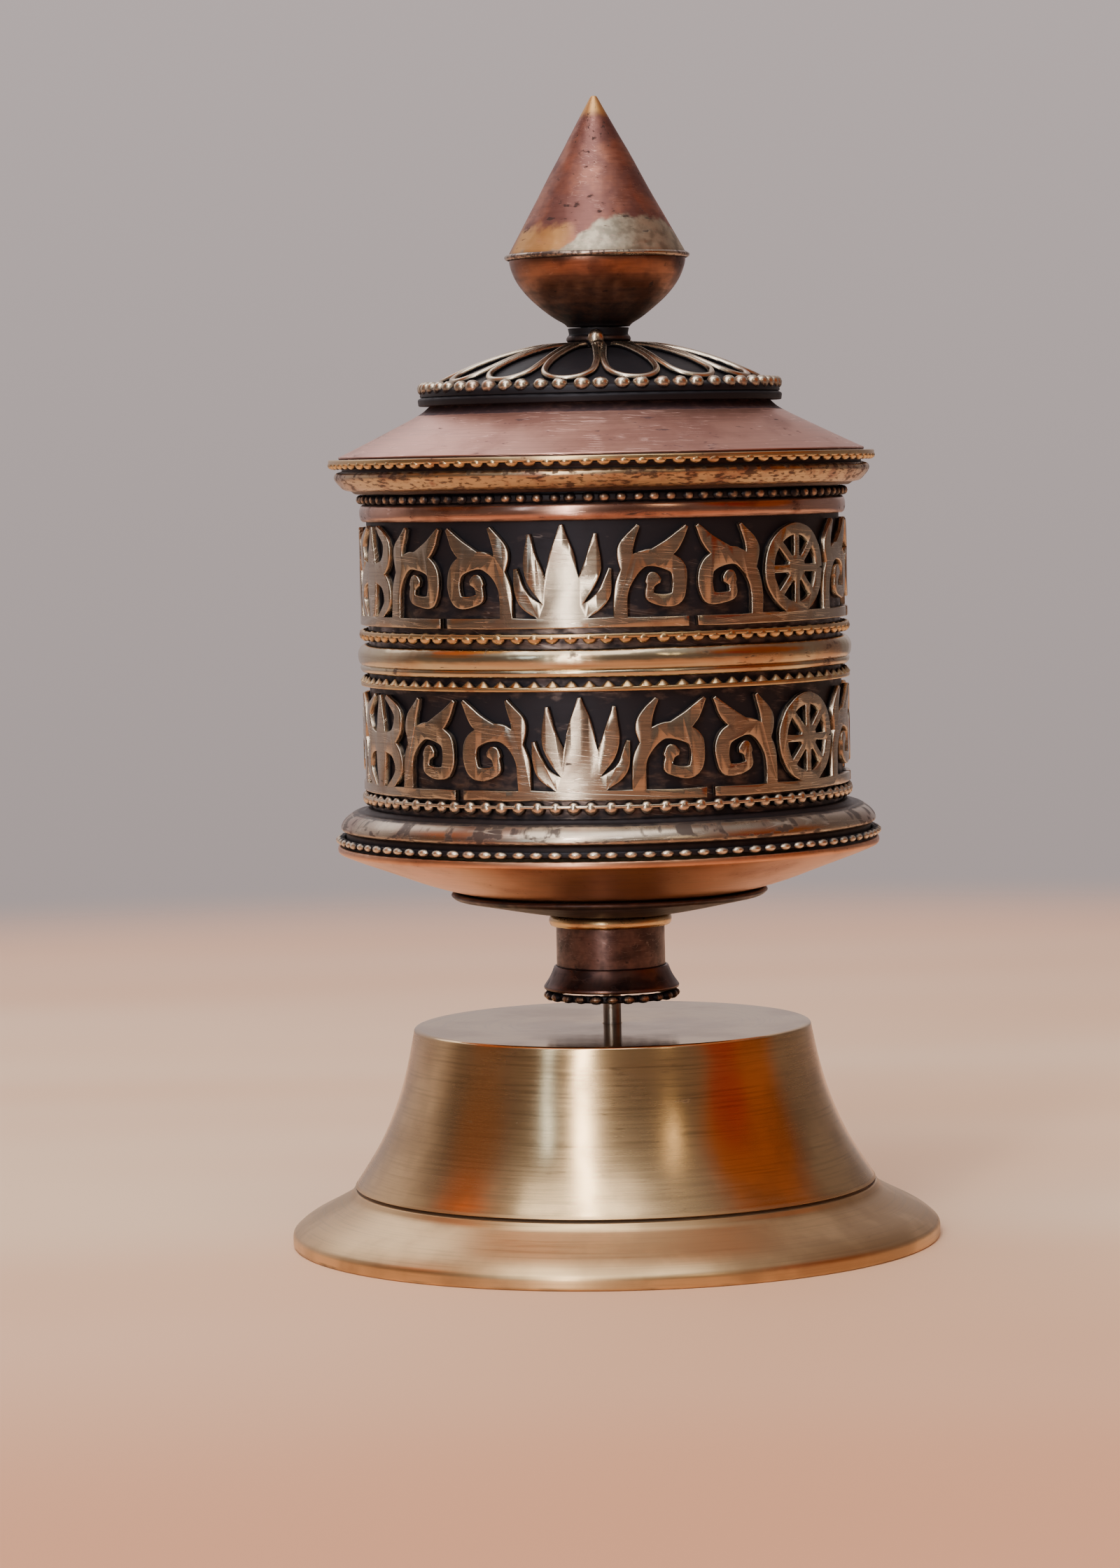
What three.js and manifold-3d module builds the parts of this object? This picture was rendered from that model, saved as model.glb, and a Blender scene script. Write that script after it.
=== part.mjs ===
// Table-top prayer wheel: a drum that spins on a pointed steel pin standing in a turned brass foot.
// Millimetres, +Z up. The origin is the centre of the foot's resting face, and the spin axis is Z.
// Three bodies: the foot with its pin, the drum with its tube and paper roll, and the lid with its finial.
import * as THREE from "three";
import { mergeVertices } from "three/addons/utils/BufferGeometryUtils.js";
import Module from "manifold-3d";

const wasm = await Module();
wasm.setup();

// ---------- driving dimensions ----------
const HEIGHT = 127; // foot to finial tip
const FOOT_R = 36.2;
const FOOT_H = 24; // top face of the foot
const PLATE_R = 22.1; // radius of that top face
const SHELL_R = 26.2; // outside of the drum's wall
const SHELL_WALL = 0.7;
const RIM_R = 30.4; // widest part of the lid and of the lower flange
const FLANGE_Z = 44.8; // height of the lower flange's rim
const SLEEVE_R = 6;
const SLEEVE_Z = [28.6, 38.6];
const PIN_R = 1;
const PIN_TIP_Z = 88.9;
const SHEET = 0.8; // sheet metal of lid, bowl and discs
const GAP = 0.06; // solder gap between coaxial pieces
const SLACK = 0.3; // room round pieces that lift off or turn
const TOOTH = 1.15; // height of the beaded wires
const SIDES = 40; // facets round every large turned piece
const FINIAL_SIDES = 32; // facets round the finial
const SMALL_SIDES = 20; // facets round pins, tubes and nuts

// Heights of the two ornament rows, and the width of one plate of ornament along the wall.
const ROWS = { upper: { z: 74.6, turn: -10 }, lower: { z: 56.3, turn: -6.5 } };
const PLATES = 6;
const ORNAMENT_H = 0.8; // how far a plate stands off the wall

// ---------- finishes ----------
const finish = (color, roughness, metalness = 1) =>
  new THREE.MeshStandardMaterial({ color, roughness, metalness });
const FINISH = {
  polishedBrass: finish("#b9975f", 0.28),
  agedBrass: finish("#b98d55", 0.38),
  whiteBrass: finish("#a8947a", 0.34),
  copper: finish("#a8705a", 0.42),
  darkCopper: finish("#2f221e", 0.55),
  steel: finish("#6b6560", 0.35),
  paper: finish("#d9c9a3", 0.9, 0),
  thread: finish("#8c2f22", 0.95, 0),
};

// ---------- helpers ----------
const wheel = new THREE.Group();

function place(name, geometry, material, parent) {
  const mesh = new THREE.Mesh(geometry, material);
  mesh.name = name;
  parent.add(mesh);
  return mesh;
}

// Turns a profile of [radius, height] points about Z. A profile off the axis is closed on itself.
function turned(profile, sides = SIDES) {
  const points = profile.map(([r, z]) => new THREE.Vector2(r, z));
  const onAxis = profile[0][0] === 0 && profile.at(-1)[0] === 0;
  let area = 0;
  points.forEach((p, i) => (area += p.cross(points[(i + 1) % points.length])));
  if (area < 0) points.reverse();
  if (!onAxis) points.push(points[0].clone());
  return new THREE.LatheGeometry(points, sides).rotateX(Math.PI / 2);
}

// A plain tube or washer between two radii and two heights.
const tube = (inner, outer, low, high, sides) =>
  turned([[inner, low], [outer, low], [outer, high], [inner, high]], sides);

// A six-sided nut, whose bore clears the thread all round.
const nut = (bore, outer, low, high) => tube((bore + GAP) / Math.cos(Math.PI / 6), outer, low, high, 6);

// A beaded or plain wire bent into a ring: flat on its inner side, and ridged on its outer side.
function wireRing(inner, width, low, high, sides = SIDES) {
  return turned([[inner, low], [inner + width, (low + high) / 2], [inner, high]], sides);
}

// Moves an outline along its own normals by the wall's thickness, which gives a spun sheet's other face.
function offsetOutline(outline, wall) {
  return outline.map(([r, z], i) => {
    const [ra, za] = outline[Math.max(i - 1, 0)];
    const [rb, zb] = outline[Math.min(i + 1, outline.length - 1)];
    const length = Math.hypot(rb - ra, zb - za);
    return [r + ((zb - za) / length) * wall, z - ((rb - ra) / length) * wall];
  });
}

const sheet = (outline, wall) =>
  turned([...outline, ...offsetOutline(outline, wall).reverse()]);

function toSolid(geometry) {
  const bare = geometry.index ? geometry.toNonIndexed() : geometry.clone();
  bare.deleteAttribute("normal");
  bare.deleteAttribute("uv");
  const merged = mergeVertices(bare, 1e-4);
  return new wasm.Manifold(
    new wasm.Mesh({
      numProp: 3,
      vertProperties: merged.attributes.position.array,
      triVerts: new Uint32Array(merged.index.array),
    }),
  );
}

function toGeometry(solid) {
  const mesh = solid.getMesh();
  const geometry = new THREE.BufferGeometry();
  geometry.setAttribute("position", new THREE.BufferAttribute(mesh.vertProperties, 3));
  geometry.setIndex(new THREE.BufferAttribute(mesh.triVerts, 1));
  return geometry;
}

// ---------- foot: turned brass bell, pin, washer and nut ----------
const foot = new THREE.Group();
wheel.add(foot);

const FLARE = [
  [PLATE_R, FOOT_H - 0.5],
  [22.9, 20],
  [24.3, 15.2],
  [26.6, 10.2],
  [28.7, 6.9],
  [31.6, 4.4],
  [34.4, 2.9],
  [FOOT_R, 1.6],
];
const FOOT_WALL = 2.2;
const PLATE_WALL = 2.6;
const PIN_HOLE_R = PIN_R + 0.05;
const footInside = [
  [FOOT_R - FOOT_WALL, 0],
  [31, 2.1],
  [26.4, 6.4],
  [22.6, 12.8],
  [20.4, FOOT_H - PLATE_WALL],
];
place(
  "foot_bell",
  turned([
    [PIN_HOLE_R, FOOT_H],
    [PLATE_R - 0.4, FOOT_H],
    ...FLARE,
    [FOOT_R, 0],
    ...footInside,
    [PIN_HOLE_R, FOOT_H - PLATE_WALL],
  ]),
  FINISH.polishedBrass,
  foot,
);

const WASHER_H = 0.6;
const NUT_H = 2.4;
const washerTop = FOOT_H - PLATE_WALL - GAP;
const nutTop = washerTop - WASHER_H - GAP;
const PIN_WASHER_R = 3.4;
const pinWasher = tube(PIN_HOLE_R, PIN_WASHER_R, washerTop - WASHER_H, washerTop, SMALL_SIDES);
place("pin_washer", pinWasher, FINISH.agedBrass, foot);
place("pin_nut", nut(PIN_R, 2.6, nutTop - NUT_H, nutTop), FINISH.agedBrass, foot);
place(
  "pivot_pin",
  turned(
    [
      [0, nutTop - NUT_H - 1.5],
      [PIN_R, nutTop - NUT_H - 1.5],
      [PIN_R, PIN_TIP_Z - 2.6],
      [0.15, PIN_TIP_Z],
      [0, PIN_TIP_Z],
    ],
    12,
  ),
  FINISH.steel,
  foot,
);

// ---------- drum: wall, bands, beaded wires, bowl, sleeve and the tube that hangs on the pin ----------
const drum = new THREE.Group();
wheel.add(drum);

const SHELL_Z = [FLANGE_Z + 0.9, 88.1];
const wallFace = SHELL_R + GAP;
place("drum_wall", tube(SHELL_R - SHELL_WALL, SHELL_R, ...SHELL_Z), FINISH.darkCopper, drum);

// Plain bands soldered round the wall, with a rounded outer face.
function band(name, low, high, bulge, material) {
  const crown = (high - low) * 0.25;
  const outline = [
    [wallFace, low],
    [wallFace + bulge * 0.5, low],
    [wallFace + bulge, low + crown],
    [wallFace + bulge, high - crown],
    [wallFace + bulge * 0.5, high],
    [wallFace, high],
  ];
  place(name, turned(outline), material, drum);
}
band("copper_band", 80.6, 82.35, 0.6, FINISH.copper);
band("middle_band", 64, 66.9, 1.05, FINISH.agedBrass);

// Heights of the lower edges of the beaded wires on the wall.
const WIRES = {
  neck_beads: 82.4,
  middle_beads_upper: 67.4,
  middle_beads_lower: 62.45,
  panel_beads: 49.2,
};
const WIRE_WIDTH = 1.05;
for (const [name, low] of Object.entries(WIRES))
  place(name, wireRing(wallFace, WIRE_WIDTH, low, low + TOOTH), FINISH.agedBrass, drum);

// The lower flange flares from the wall to the rim, and a beaded wire lies in the step under it.
const STEP_R = 29.3;
const STEP_Z = 45.8;
place(
  "flange_band",
  turned([
    [wallFace, 48.9],
    [27.2, 48.9],
    [28.8, 48],
    [29.8, 46.6],
    [STEP_R, STEP_Z],
    [STEP_R, FLANGE_Z + GAP],
    [wallFace, FLANGE_Z + GAP],
  ]),
  FINISH.whiteBrass,
  drum,
);
const stepWire = wireRing(STEP_R + GAP, RIM_R - STEP_R - GAP, FLANGE_Z + GAP, STEP_Z - GAP);
place("flange_beads", stepWire, FINISH.whiteBrass, drum);

const BOWL = [
  [RIM_R - 0.4, FLANGE_Z],
  [25.2, 43],
  [18, 40.1],
  [SLEEVE_R + 0.1, 38],
];
place("bowl", sheet(BOWL, -SHEET), FINISH.copper, drum);

// The dark disc lies under the bowl's slope, a sheet's thickness and a gap below its upper face.
const LOWER_DISC = [
  [17.3, 39.83],
  [SLEEVE_R + 0.5, 38.08],
];
place("lower_disc", sheet(offsetOutline(LOWER_DISC, -SHEET - GAP), -SHEET), FINISH.darkCopper, drum);

const sleeveBore = SLEEVE_R - 0.7;
const sleeve = tube(sleeveBore, SLEEVE_R, ...SLEEVE_Z, SMALL_SIDES);
place("sleeve", sleeve, FINISH.darkCopper, drum);
const collar = wireRing(SLEEVE_R + GAP, 0.8, 35.1, 36.3, SMALL_SIDES);
place("sleeve_collar", collar, FINISH.agedBrass, drum);
place(
  "sleeve_foot",
  turned(
    [
      [SLEEVE_R + GAP, 30.6],
      [SLEEVE_R + 0.3, 30.6],
      [SLEEVE_R + 0.7, 29.4],
      [7.6, 28],
      [SLEEVE_R + GAP, 28],
    ],
    SMALL_SIDES,
  ),
  FINISH.darkCopper,
  drum,
);
const footWire = wireRing(SLEEVE_R + 0.4, 1.3, 26.8, 27.9, SMALL_SIDES);
place("sleeve_foot_beads", footWire, FINISH.agedBrass, drum);

// Inside, a bush runs on the pin and a hub centres the tube in the sleeve.
// The cup on the tube's top rides on the pin's point.
const TUBE_R = 2.6;
const TUBE_BORE = 1.5;
const BUSH_H = 3;
const HUB_H = 2;
const CUP_Z = [84.5, 91];
const SOCKET_H = 2.4; // how far the tube enters the cup
const DIMPLE_Z = PIN_TIP_Z + SLACK;
const bushTop = SLEEVE_Z[0] + BUSH_H;
const bush = tube(PIN_R + SLACK, sleeveBore - GAP, SLEEVE_Z[0], bushTop, SMALL_SIDES);
place("guide_bush", bush, FINISH.agedBrass, drum);
const axleTube = tube(TUBE_BORE, TUBE_R, bushTop + GAP, CUP_Z[0] + SOCKET_H, SMALL_SIDES);
place("axle_tube", axleTube, FINISH.agedBrass, drum);
const hub = tube(TUBE_R + GAP, sleeveBore - GAP, SLEEVE_Z[1] - HUB_H, SLEEVE_Z[1], SMALL_SIDES);
place("sleeve_hub", hub, FINISH.agedBrass, drum);
place(
  "pivot_cup",
  turned(
    [
      [0, CUP_Z[1]],
      [2.6, CUP_Z[1]],
      [3.4, CUP_Z[1] - 0.8],
      [3.4, CUP_Z[0]],
      [TUBE_R + GAP, CUP_Z[0]],
      [TUBE_R + GAP, CUP_Z[0] + SOCKET_H + GAP],
      [TUBE_BORE, CUP_Z[0] + SOCKET_H + GAP],
      [TUBE_BORE, DIMPLE_Z - 1.6],
      [0, DIMPLE_Z],
    ],
    SMALL_SIDES,
  ),
  FINISH.polishedBrass,
  drum,
);

// The rolled paper that the drum exists to carry, with its two thread ties.
const ROLL_R = 24;
place("paper_roll", tube(TUBE_R + SLACK, ROLL_R, 43.9, 82, SIDES), FINISH.paper, drum);
const TIES = { paper_tie_lower: 53, paper_tie_upper: 72 };
for (const [name, low] of Object.entries(TIES))
  place(name, wireRing(ROLL_R + GAP, 0.9, low, low + TOOTH), FINISH.thread, drum);

// ---------- ornament plates: cut sheet, bent round the wall ----------
// A stroke is a list of [along, up, width] points, and its ribbon tapers from each to the next.
function ribbon(points) {
  const left = [];
  const right = [];
  points.forEach(([x, y, width], i) => {
    const [xa, ya] = points[Math.max(i - 1, 0)];
    const [xb, yb] = points[Math.min(i + 1, points.length - 1)];
    const side = new THREE.Vector2(ya - yb, xb - xa).setLength(width / 2);
    left.push(new THREE.Vector2(x + side.x, y + side.y));
    right.unshift(new THREE.Vector2(x - side.x, y - side.y));
  });
  return [...left, ...right];
}

function disc([x, y, r], sides) {
  const points = [];
  for (let i = 0; i < sides; i++) {
    const a = (i * 2 * Math.PI) / sides;
    points.push(new THREE.Vector2(x + r * Math.cos(a), y + r * Math.sin(a)));
  }
  return points;
}

const mirrored = (strokes) => [...strokes, ...strokes.map((s) => s.map(([x, y, w]) => [-x, y, w]))];

const RAIL = [[-13.3, -4.9, 1.1], [13.3, -4.9, 1.1]];
const CORNER = mirrored([
  [
    [6, -4.8, 1.5],
    [6.3, -0.8, 1.6],
    [8.6, 1.8, 1.9],
    [12, 0.8, 1.8],
    [11.9, -2.4, 1.5],
    [9.2, -2.2, 1.3],
    [9.7, -0.3, 1.5],
  ],
  [[9.4, 1.9, 1.6], [11.5, 3.1, 1.7], [13.2, 5.2, 0.4]],
  [[6.9, 0.4, 1.5], [6.6, 2.8, 1.7], [8, 5.3, 0.4]],
]);

const LOTUS = {
  strokes: [
    RAIL,
    ...CORNER,
    [[0, -4.6, 3.6], [0, 1.4, 3], [0, 5.5, 0.4]],
    ...mirrored([
      [[0.6, -3.6, 1.4], [3, 0.4, 2], [3.5, 4.6, 0.4]],
      [[0.8, -4.4, 1.4], [4, -2.4, 1.5], [5, 0.9, 0.4]],
    ]),
  ],
};

// A wheel with a hub and eight spokes, which four bars through its centre make.
const WHEEL = { x: 0, y: 0.2, outer: 4.9, inner: 3.6, hub: 1.4 };
const SPOKE_WIDTH = 0.8;
const spokes = [];
for (let i = 0; i < 4; i++) {
  const a = (i * Math.PI) / 4;
  const reach = (WHEEL.outer + WHEEL.inner) / 2;
  const [c, s] = [reach * Math.cos(a), reach * Math.sin(a)];
  spokes.push([[-c, WHEEL.y - s, SPOKE_WIDTH], [c, WHEEL.y + s, SPOKE_WIDTH]]);
}
const SPOKED = { strokes: [RAIL, ...CORNER, ...spokes], wheel: WHEEL };

const SCEPTRE = {
  strokes: [
    RAIL,
    ...CORNER,
    [[0, -4.8, 1.6], [0, 0.4, 2.6], [0, 5.5, 0.4]],
    ...mirrored([
      [[0.4, 0.7, 1.2], [3.3, 1.2, 1.7], [4.1, 3.5, 1.4], [1.6, 5.4, 0.4]],
      [[0.4, 0.1, 1.2], [3.3, -0.4, 1.7], [4.1, -2.7, 1.4], [1.7, -4.7, 0.6]],
    ]),
  ],
};
const MOTIFS = [LOTUS, SPOKED, SCEPTRE];

const PRISM_DEPTH = 12; // deep enough to reach through the wall's curve
// One outline as a prism. Distances along the wall shrink to their chord, so that they fit the curve.
function prism(outline) {
  const onChord = outline.map((p) => new THREE.Vector2(SHELL_R * Math.sin(p.x / SHELL_R), p.y));
  if (THREE.ShapeUtils.area(onChord) < 0) onChord.reverse();
  const shape = new THREE.Shape(onChord);
  return toSolid(new THREE.ExtrudeGeometry(shape, { depth: PRISM_DEPTH, bevelEnabled: false }));
}

function pattern(motif) {
  const pieces = motif.strokes.map(ribbon).map(prism);
  if (motif.wheel) {
    const { x, y, outer, inner, hub } = motif.wheel;
    const rim = prism(disc([x, y, outer], 12)).subtract(prism(disc([x, y, inner], 12)));
    pieces.push(rim, prism(disc([x, y, hub], 8)));
  }
  return pieces.reduce((whole, piece) => whole.add(piece));
}

// Stands the pattern up in front of the wall, turns it into place and keeps what lies in a thin shell.
function ornamentPlate(motif, z, degrees) {
  const upright = toGeometry(pattern(motif))
    .rotateX(Math.PI / 2)
    .translate(0, -SHELL_R + PRISM_DEPTH / 2, z)
    .rotateZ(THREE.MathUtils.degToRad(degrees));
  const shell = tube(wallFace, wallFace + ORNAMENT_H, z - 7, z + 7);
  return toGeometry(toSolid(upright).intersect(toSolid(shell)));
}

for (const [row, { z, turn }] of Object.entries(ROWS))
  for (let i = 0; i < PLATES; i++)
    place(
      `${row}_ornament_${i + 1}`,
      ornamentPlate(MOTIFS[i % MOTIFS.length], z, turn + (i * 360) / PLATES),
      FINISH.whiteBrass,
      drum,
    );

// ---------- lid: spun cover, skirt, rim wire, petal disc and finial ----------
const lid = new THREE.Group();
wheel.add(lid);

const COVER = [
  [3.3, 98.3],
  [11, 97.1],
  [17.6, 94.3],
  [19.9, 92.3],
  [RIM_R - 1.2, 87.55],
];
place("lid_cover", sheet(COVER, SHEET), FINISH.copper, lid);

// The skirt's top lies against the cover's slope, and its bore slips over the drum's wall.
const SKIRT_R = SHELL_R + SLACK;
place(
  "lid_skirt",
  turned([
    [SKIRT_R, 83.65],
    [27.5, 83.65],
    [28.7, 84.4],
    [29.4, 85.3],
    [29.1, 86.6],
    [SKIRT_R, 87.93],
  ]),
  FINISH.agedBrass,
  lid,
);
place(
  "lid_rim_wire",
  turned([[29.32, 86.3], [RIM_R, 86.5], [RIM_R, 87.2], [29.32, 87.4]]),
  FINISH.agedBrass,
  lid,
);

const PETAL_DISC = [
  [3.9, 99.2],
  [7.4, 99],
  [13.2, 97.4],
  [18, 95.2],
  [20, 93.9],
];
place("petal_disc", sheet([...PETAL_DISC, [20.2, 93.3]], SHEET), FINISH.darkCopper, lid);
const petalBeads = turned([[18.9, 94.95], [20, 94.2], [20.1, 95.1], [19.2, 95.7]]);
place("petal_disc_beads", petalBeads, FINISH.whiteBrass, lid);

// One closed wire runs out and back round the disc as petals, lifted onto the disc's slope.
const PETALS = 14;
const PETAL_WIRE = 0.4; // half thickness
const PETAL_LIFT = PETAL_WIRE + 0.3;
const discSlope = new THREE.SplineCurve(PETAL_DISC.map(([r, z]) => new THREE.Vector2(r, z)));
function discHeight(r) {
  let best = discSlope.getPoint(0);
  for (const p of discSlope.getPoints(60)) if (Math.abs(p.x - r) < Math.abs(best.x - r)) best = p;
  return best.y + PETAL_LIFT;
}
const PETAL_INNER = 5.4;
const PETAL_OUTER = 17.9;
// Points of one petal as [share of half its sector, radius].
const PETAL = [
  [-1, PETAL_INNER],
  [-0.88, 13.4],
  [0, PETAL_OUTER],
  [0.88, 13.4],
];
const petalPath = [];
for (let i = 0; i < PETALS; i++) {
  const middle = (i * 2 * Math.PI) / PETALS;
  const half = Math.PI / PETALS;
  for (const [share, r] of PETAL) {
    const a = middle + share * half;
    petalPath.push(new THREE.Vector3(r * Math.cos(a), r * Math.sin(a), discHeight(r)));
  }
}
const wireSection = new THREE.Shape(disc([0, 0, PETAL_WIRE], 3));
place(
  "petal_wire",
  new THREE.ExtrudeGeometry(wireSection, {
    steps: PETALS * 8,
    extrudePath: new THREE.CatmullRomCurve3(petalPath, true),
  }),
  FINISH.whiteBrass,
  lid,
);

const NECK_Z = [99.2 + GAP, 101.4];
const STUD_R = 1.2;
place(
  "finial_neck",
  turned(
    [
      [STUD_R + GAP, NECK_Z[0]],
      [4, NECK_Z[0]],
      [3.6, NECK_Z[0] + 0.5],
      [3.9, NECK_Z[0] + 1.1],
      [3.4, NECK_Z[1]],
      [STUD_R + GAP, NECK_Z[1]],
    ],
    SMALL_SIDES,
  ),
  FINISH.darkCopper,
  lid,
);

const FINIAL_R = 9.9;
const SEAM_Z = 109.3;
const cupLow = NECK_Z[1] + GAP;
const CUP = [
  [9.7, 108],
  [9, 106.4],
  [7.7, 104.8],
  [6.1, 103.4],
  [4.8, 102.4],
];
place(
  "finial_cup",
  turned(
    [
      [FINIAL_R, SEAM_Z],
      ...CUP,
      [3.6, cupLow],
      [STUD_R + GAP, cupLow],
      [STUD_R + GAP, cupLow + SHEET],
      [3.4, cupLow + SHEET],
      ...offsetOutline(CUP, SHEET).reverse(),
      [FINIAL_R - SHEET, SEAM_Z],
    ],
    FINIAL_SIDES,
  ),
  FINISH.copper,
  lid,
);
const coneZ = SEAM_Z + GAP;
place(
  "finial_cone",
  turned(
    [
      [0, HEIGHT],
      [0.6, HEIGHT - 0.4],
      [FINIAL_R, coneZ],
      [FINIAL_R - SHEET, coneZ],
      [0, HEIGHT - 2.6],
    ],
    FINIAL_SIDES,
  ),
  FINISH.copper,
  lid,
);
const SEAM_HALF = 0.4;
const seam = wireRing(FINIAL_R + GAP, 0.35, SEAM_Z - SEAM_HALF, SEAM_Z + SEAM_HALF, FINIAL_SIDES);
place("finial_seam", seam, FINISH.agedBrass, lid);

// The stud runs through the cup, the neck and the cover, and its nut holds them together from inside.
const STUD_Z = [94.2, 104.6];
const STUD_NUT_Z = [94.6, 96.6];
const stud = turned([[0, STUD_Z[0]], [STUD_R, STUD_Z[0]], [STUD_R, STUD_Z[1]], [0, STUD_Z[1]]], 12);
place("finial_stud", stud, FINISH.steel, lid);
place("finial_nut", nut(STUD_R, 3, ...STUD_NUT_Z), FINISH.agedBrass, lid);
const studWasher = tube(STUD_R + GAP, 4.4, STUD_NUT_Z[1] + GAP, 97.2, SMALL_SIDES);
place("finial_washer", studWasher, FINISH.agedBrass, lid);

export default wheel;
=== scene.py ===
"""Looks of a table-top prayer wheel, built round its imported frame.

Meshes are shaped in millimetres and brought to metres when they are finished.
The wheel's axis is Z, and its front faces -Y.
"""

import logging
import math
import random
from collections.abc import Callable, Iterable, Sequence
from dataclasses import dataclass, field
from enum import Enum

import bmesh
import bpy
from mathutils import Matrix, Vector, noise
from mathutils.bvhtree import BVHTree
from mathutils.geometry import delaunay_2d_cdt


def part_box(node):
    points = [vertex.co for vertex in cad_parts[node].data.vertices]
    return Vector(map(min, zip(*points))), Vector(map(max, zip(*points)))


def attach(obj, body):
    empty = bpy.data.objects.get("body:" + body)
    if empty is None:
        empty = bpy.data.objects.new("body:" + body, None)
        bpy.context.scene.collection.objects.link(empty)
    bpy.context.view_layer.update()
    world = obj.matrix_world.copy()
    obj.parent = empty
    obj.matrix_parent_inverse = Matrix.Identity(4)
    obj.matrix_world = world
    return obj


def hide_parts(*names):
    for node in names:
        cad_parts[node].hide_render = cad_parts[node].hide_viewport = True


LOG = logging.getLogger("prayer_wheel")
MM = 0.001
GAP = 0.06  # between parts that are pressed or soldered together
FOOT_SIDES = 256
TURN_SIDES = 160
FINIAL_SIDES = 128
SLEEVE_SIDES = 96
SMALL_SIDES = 64
ROD_SIDES = 32
BEAD_SIDES = 10
FLOWING = 99.0  # a fillet so large that a run of such corners becomes one smooth curve
MERGE = 1e-4
SHARP_ANGLE = math.radians(38)

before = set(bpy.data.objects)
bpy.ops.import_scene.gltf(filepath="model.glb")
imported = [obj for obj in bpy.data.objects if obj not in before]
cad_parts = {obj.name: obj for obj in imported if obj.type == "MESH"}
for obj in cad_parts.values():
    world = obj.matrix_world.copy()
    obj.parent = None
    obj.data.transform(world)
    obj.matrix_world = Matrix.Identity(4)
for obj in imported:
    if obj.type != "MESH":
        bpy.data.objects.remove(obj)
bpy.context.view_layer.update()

Colour = tuple[float, float, float]


def sight(azimuth: float, elevation: float = 0.0) -> Vector:
    """Returns the direction so many degrees to the right of the front and so many up."""
    a, e = math.radians(azimuth), math.radians(elevation)
    return Vector((math.sin(a) * math.cos(e), -math.cos(a) * math.cos(e), math.sin(e)))


# ---------- shader maths ----------


class Value:
    """A number that varies over a surface and takes part in Python arithmetic."""

    def __init__(self, graph: "Graph", socket: bpy.types.NodeSocket) -> None:
        """Wraps a socket of the graph."""
        self.graph = graph
        self.socket = socket

    def __add__(self, other: "Value | float") -> "Value":
        """Returns the sum."""
        return self.graph.math("ADD", self, other)

    def __sub__(self, other: "Value | float") -> "Value":
        """Returns the difference."""
        return self.graph.math("SUBTRACT", self, other)

    def __rsub__(self, other: float) -> "Value":
        """Returns the difference, with this value taken away."""
        return self.graph.math("SUBTRACT", other, self)

    def __mul__(self, other: "Value | float") -> "Value":
        """Returns the product."""
        return self.graph.math("MULTIPLY", self, other)

    def __abs__(self) -> "Value":
        """Returns the size without its sign."""
        return self.graph.math("ABSOLUTE", self)

    __radd__ = __add__
    __rmul__ = __mul__

    def step(self, low: float, high: float) -> "Value":
        """Rises smoothly from 0 to 1 as this value goes from low to high.

        Args:
            low: Where the rise starts. It may be the larger of the two.
            high: Where the rise ends.

        Returns:
            The smooth step.
        """
        node = self.graph.node(
            "ShaderNodeMapRange",
            {"interpolation_type": "SMOOTHSTEP"},
            {"Value": self, "From Min": min(low, high), "From Max": max(low, high)},
        )
        rise = Value(self.graph, node.outputs["Result"])
        return rise if low < high else 1 - rise


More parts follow.
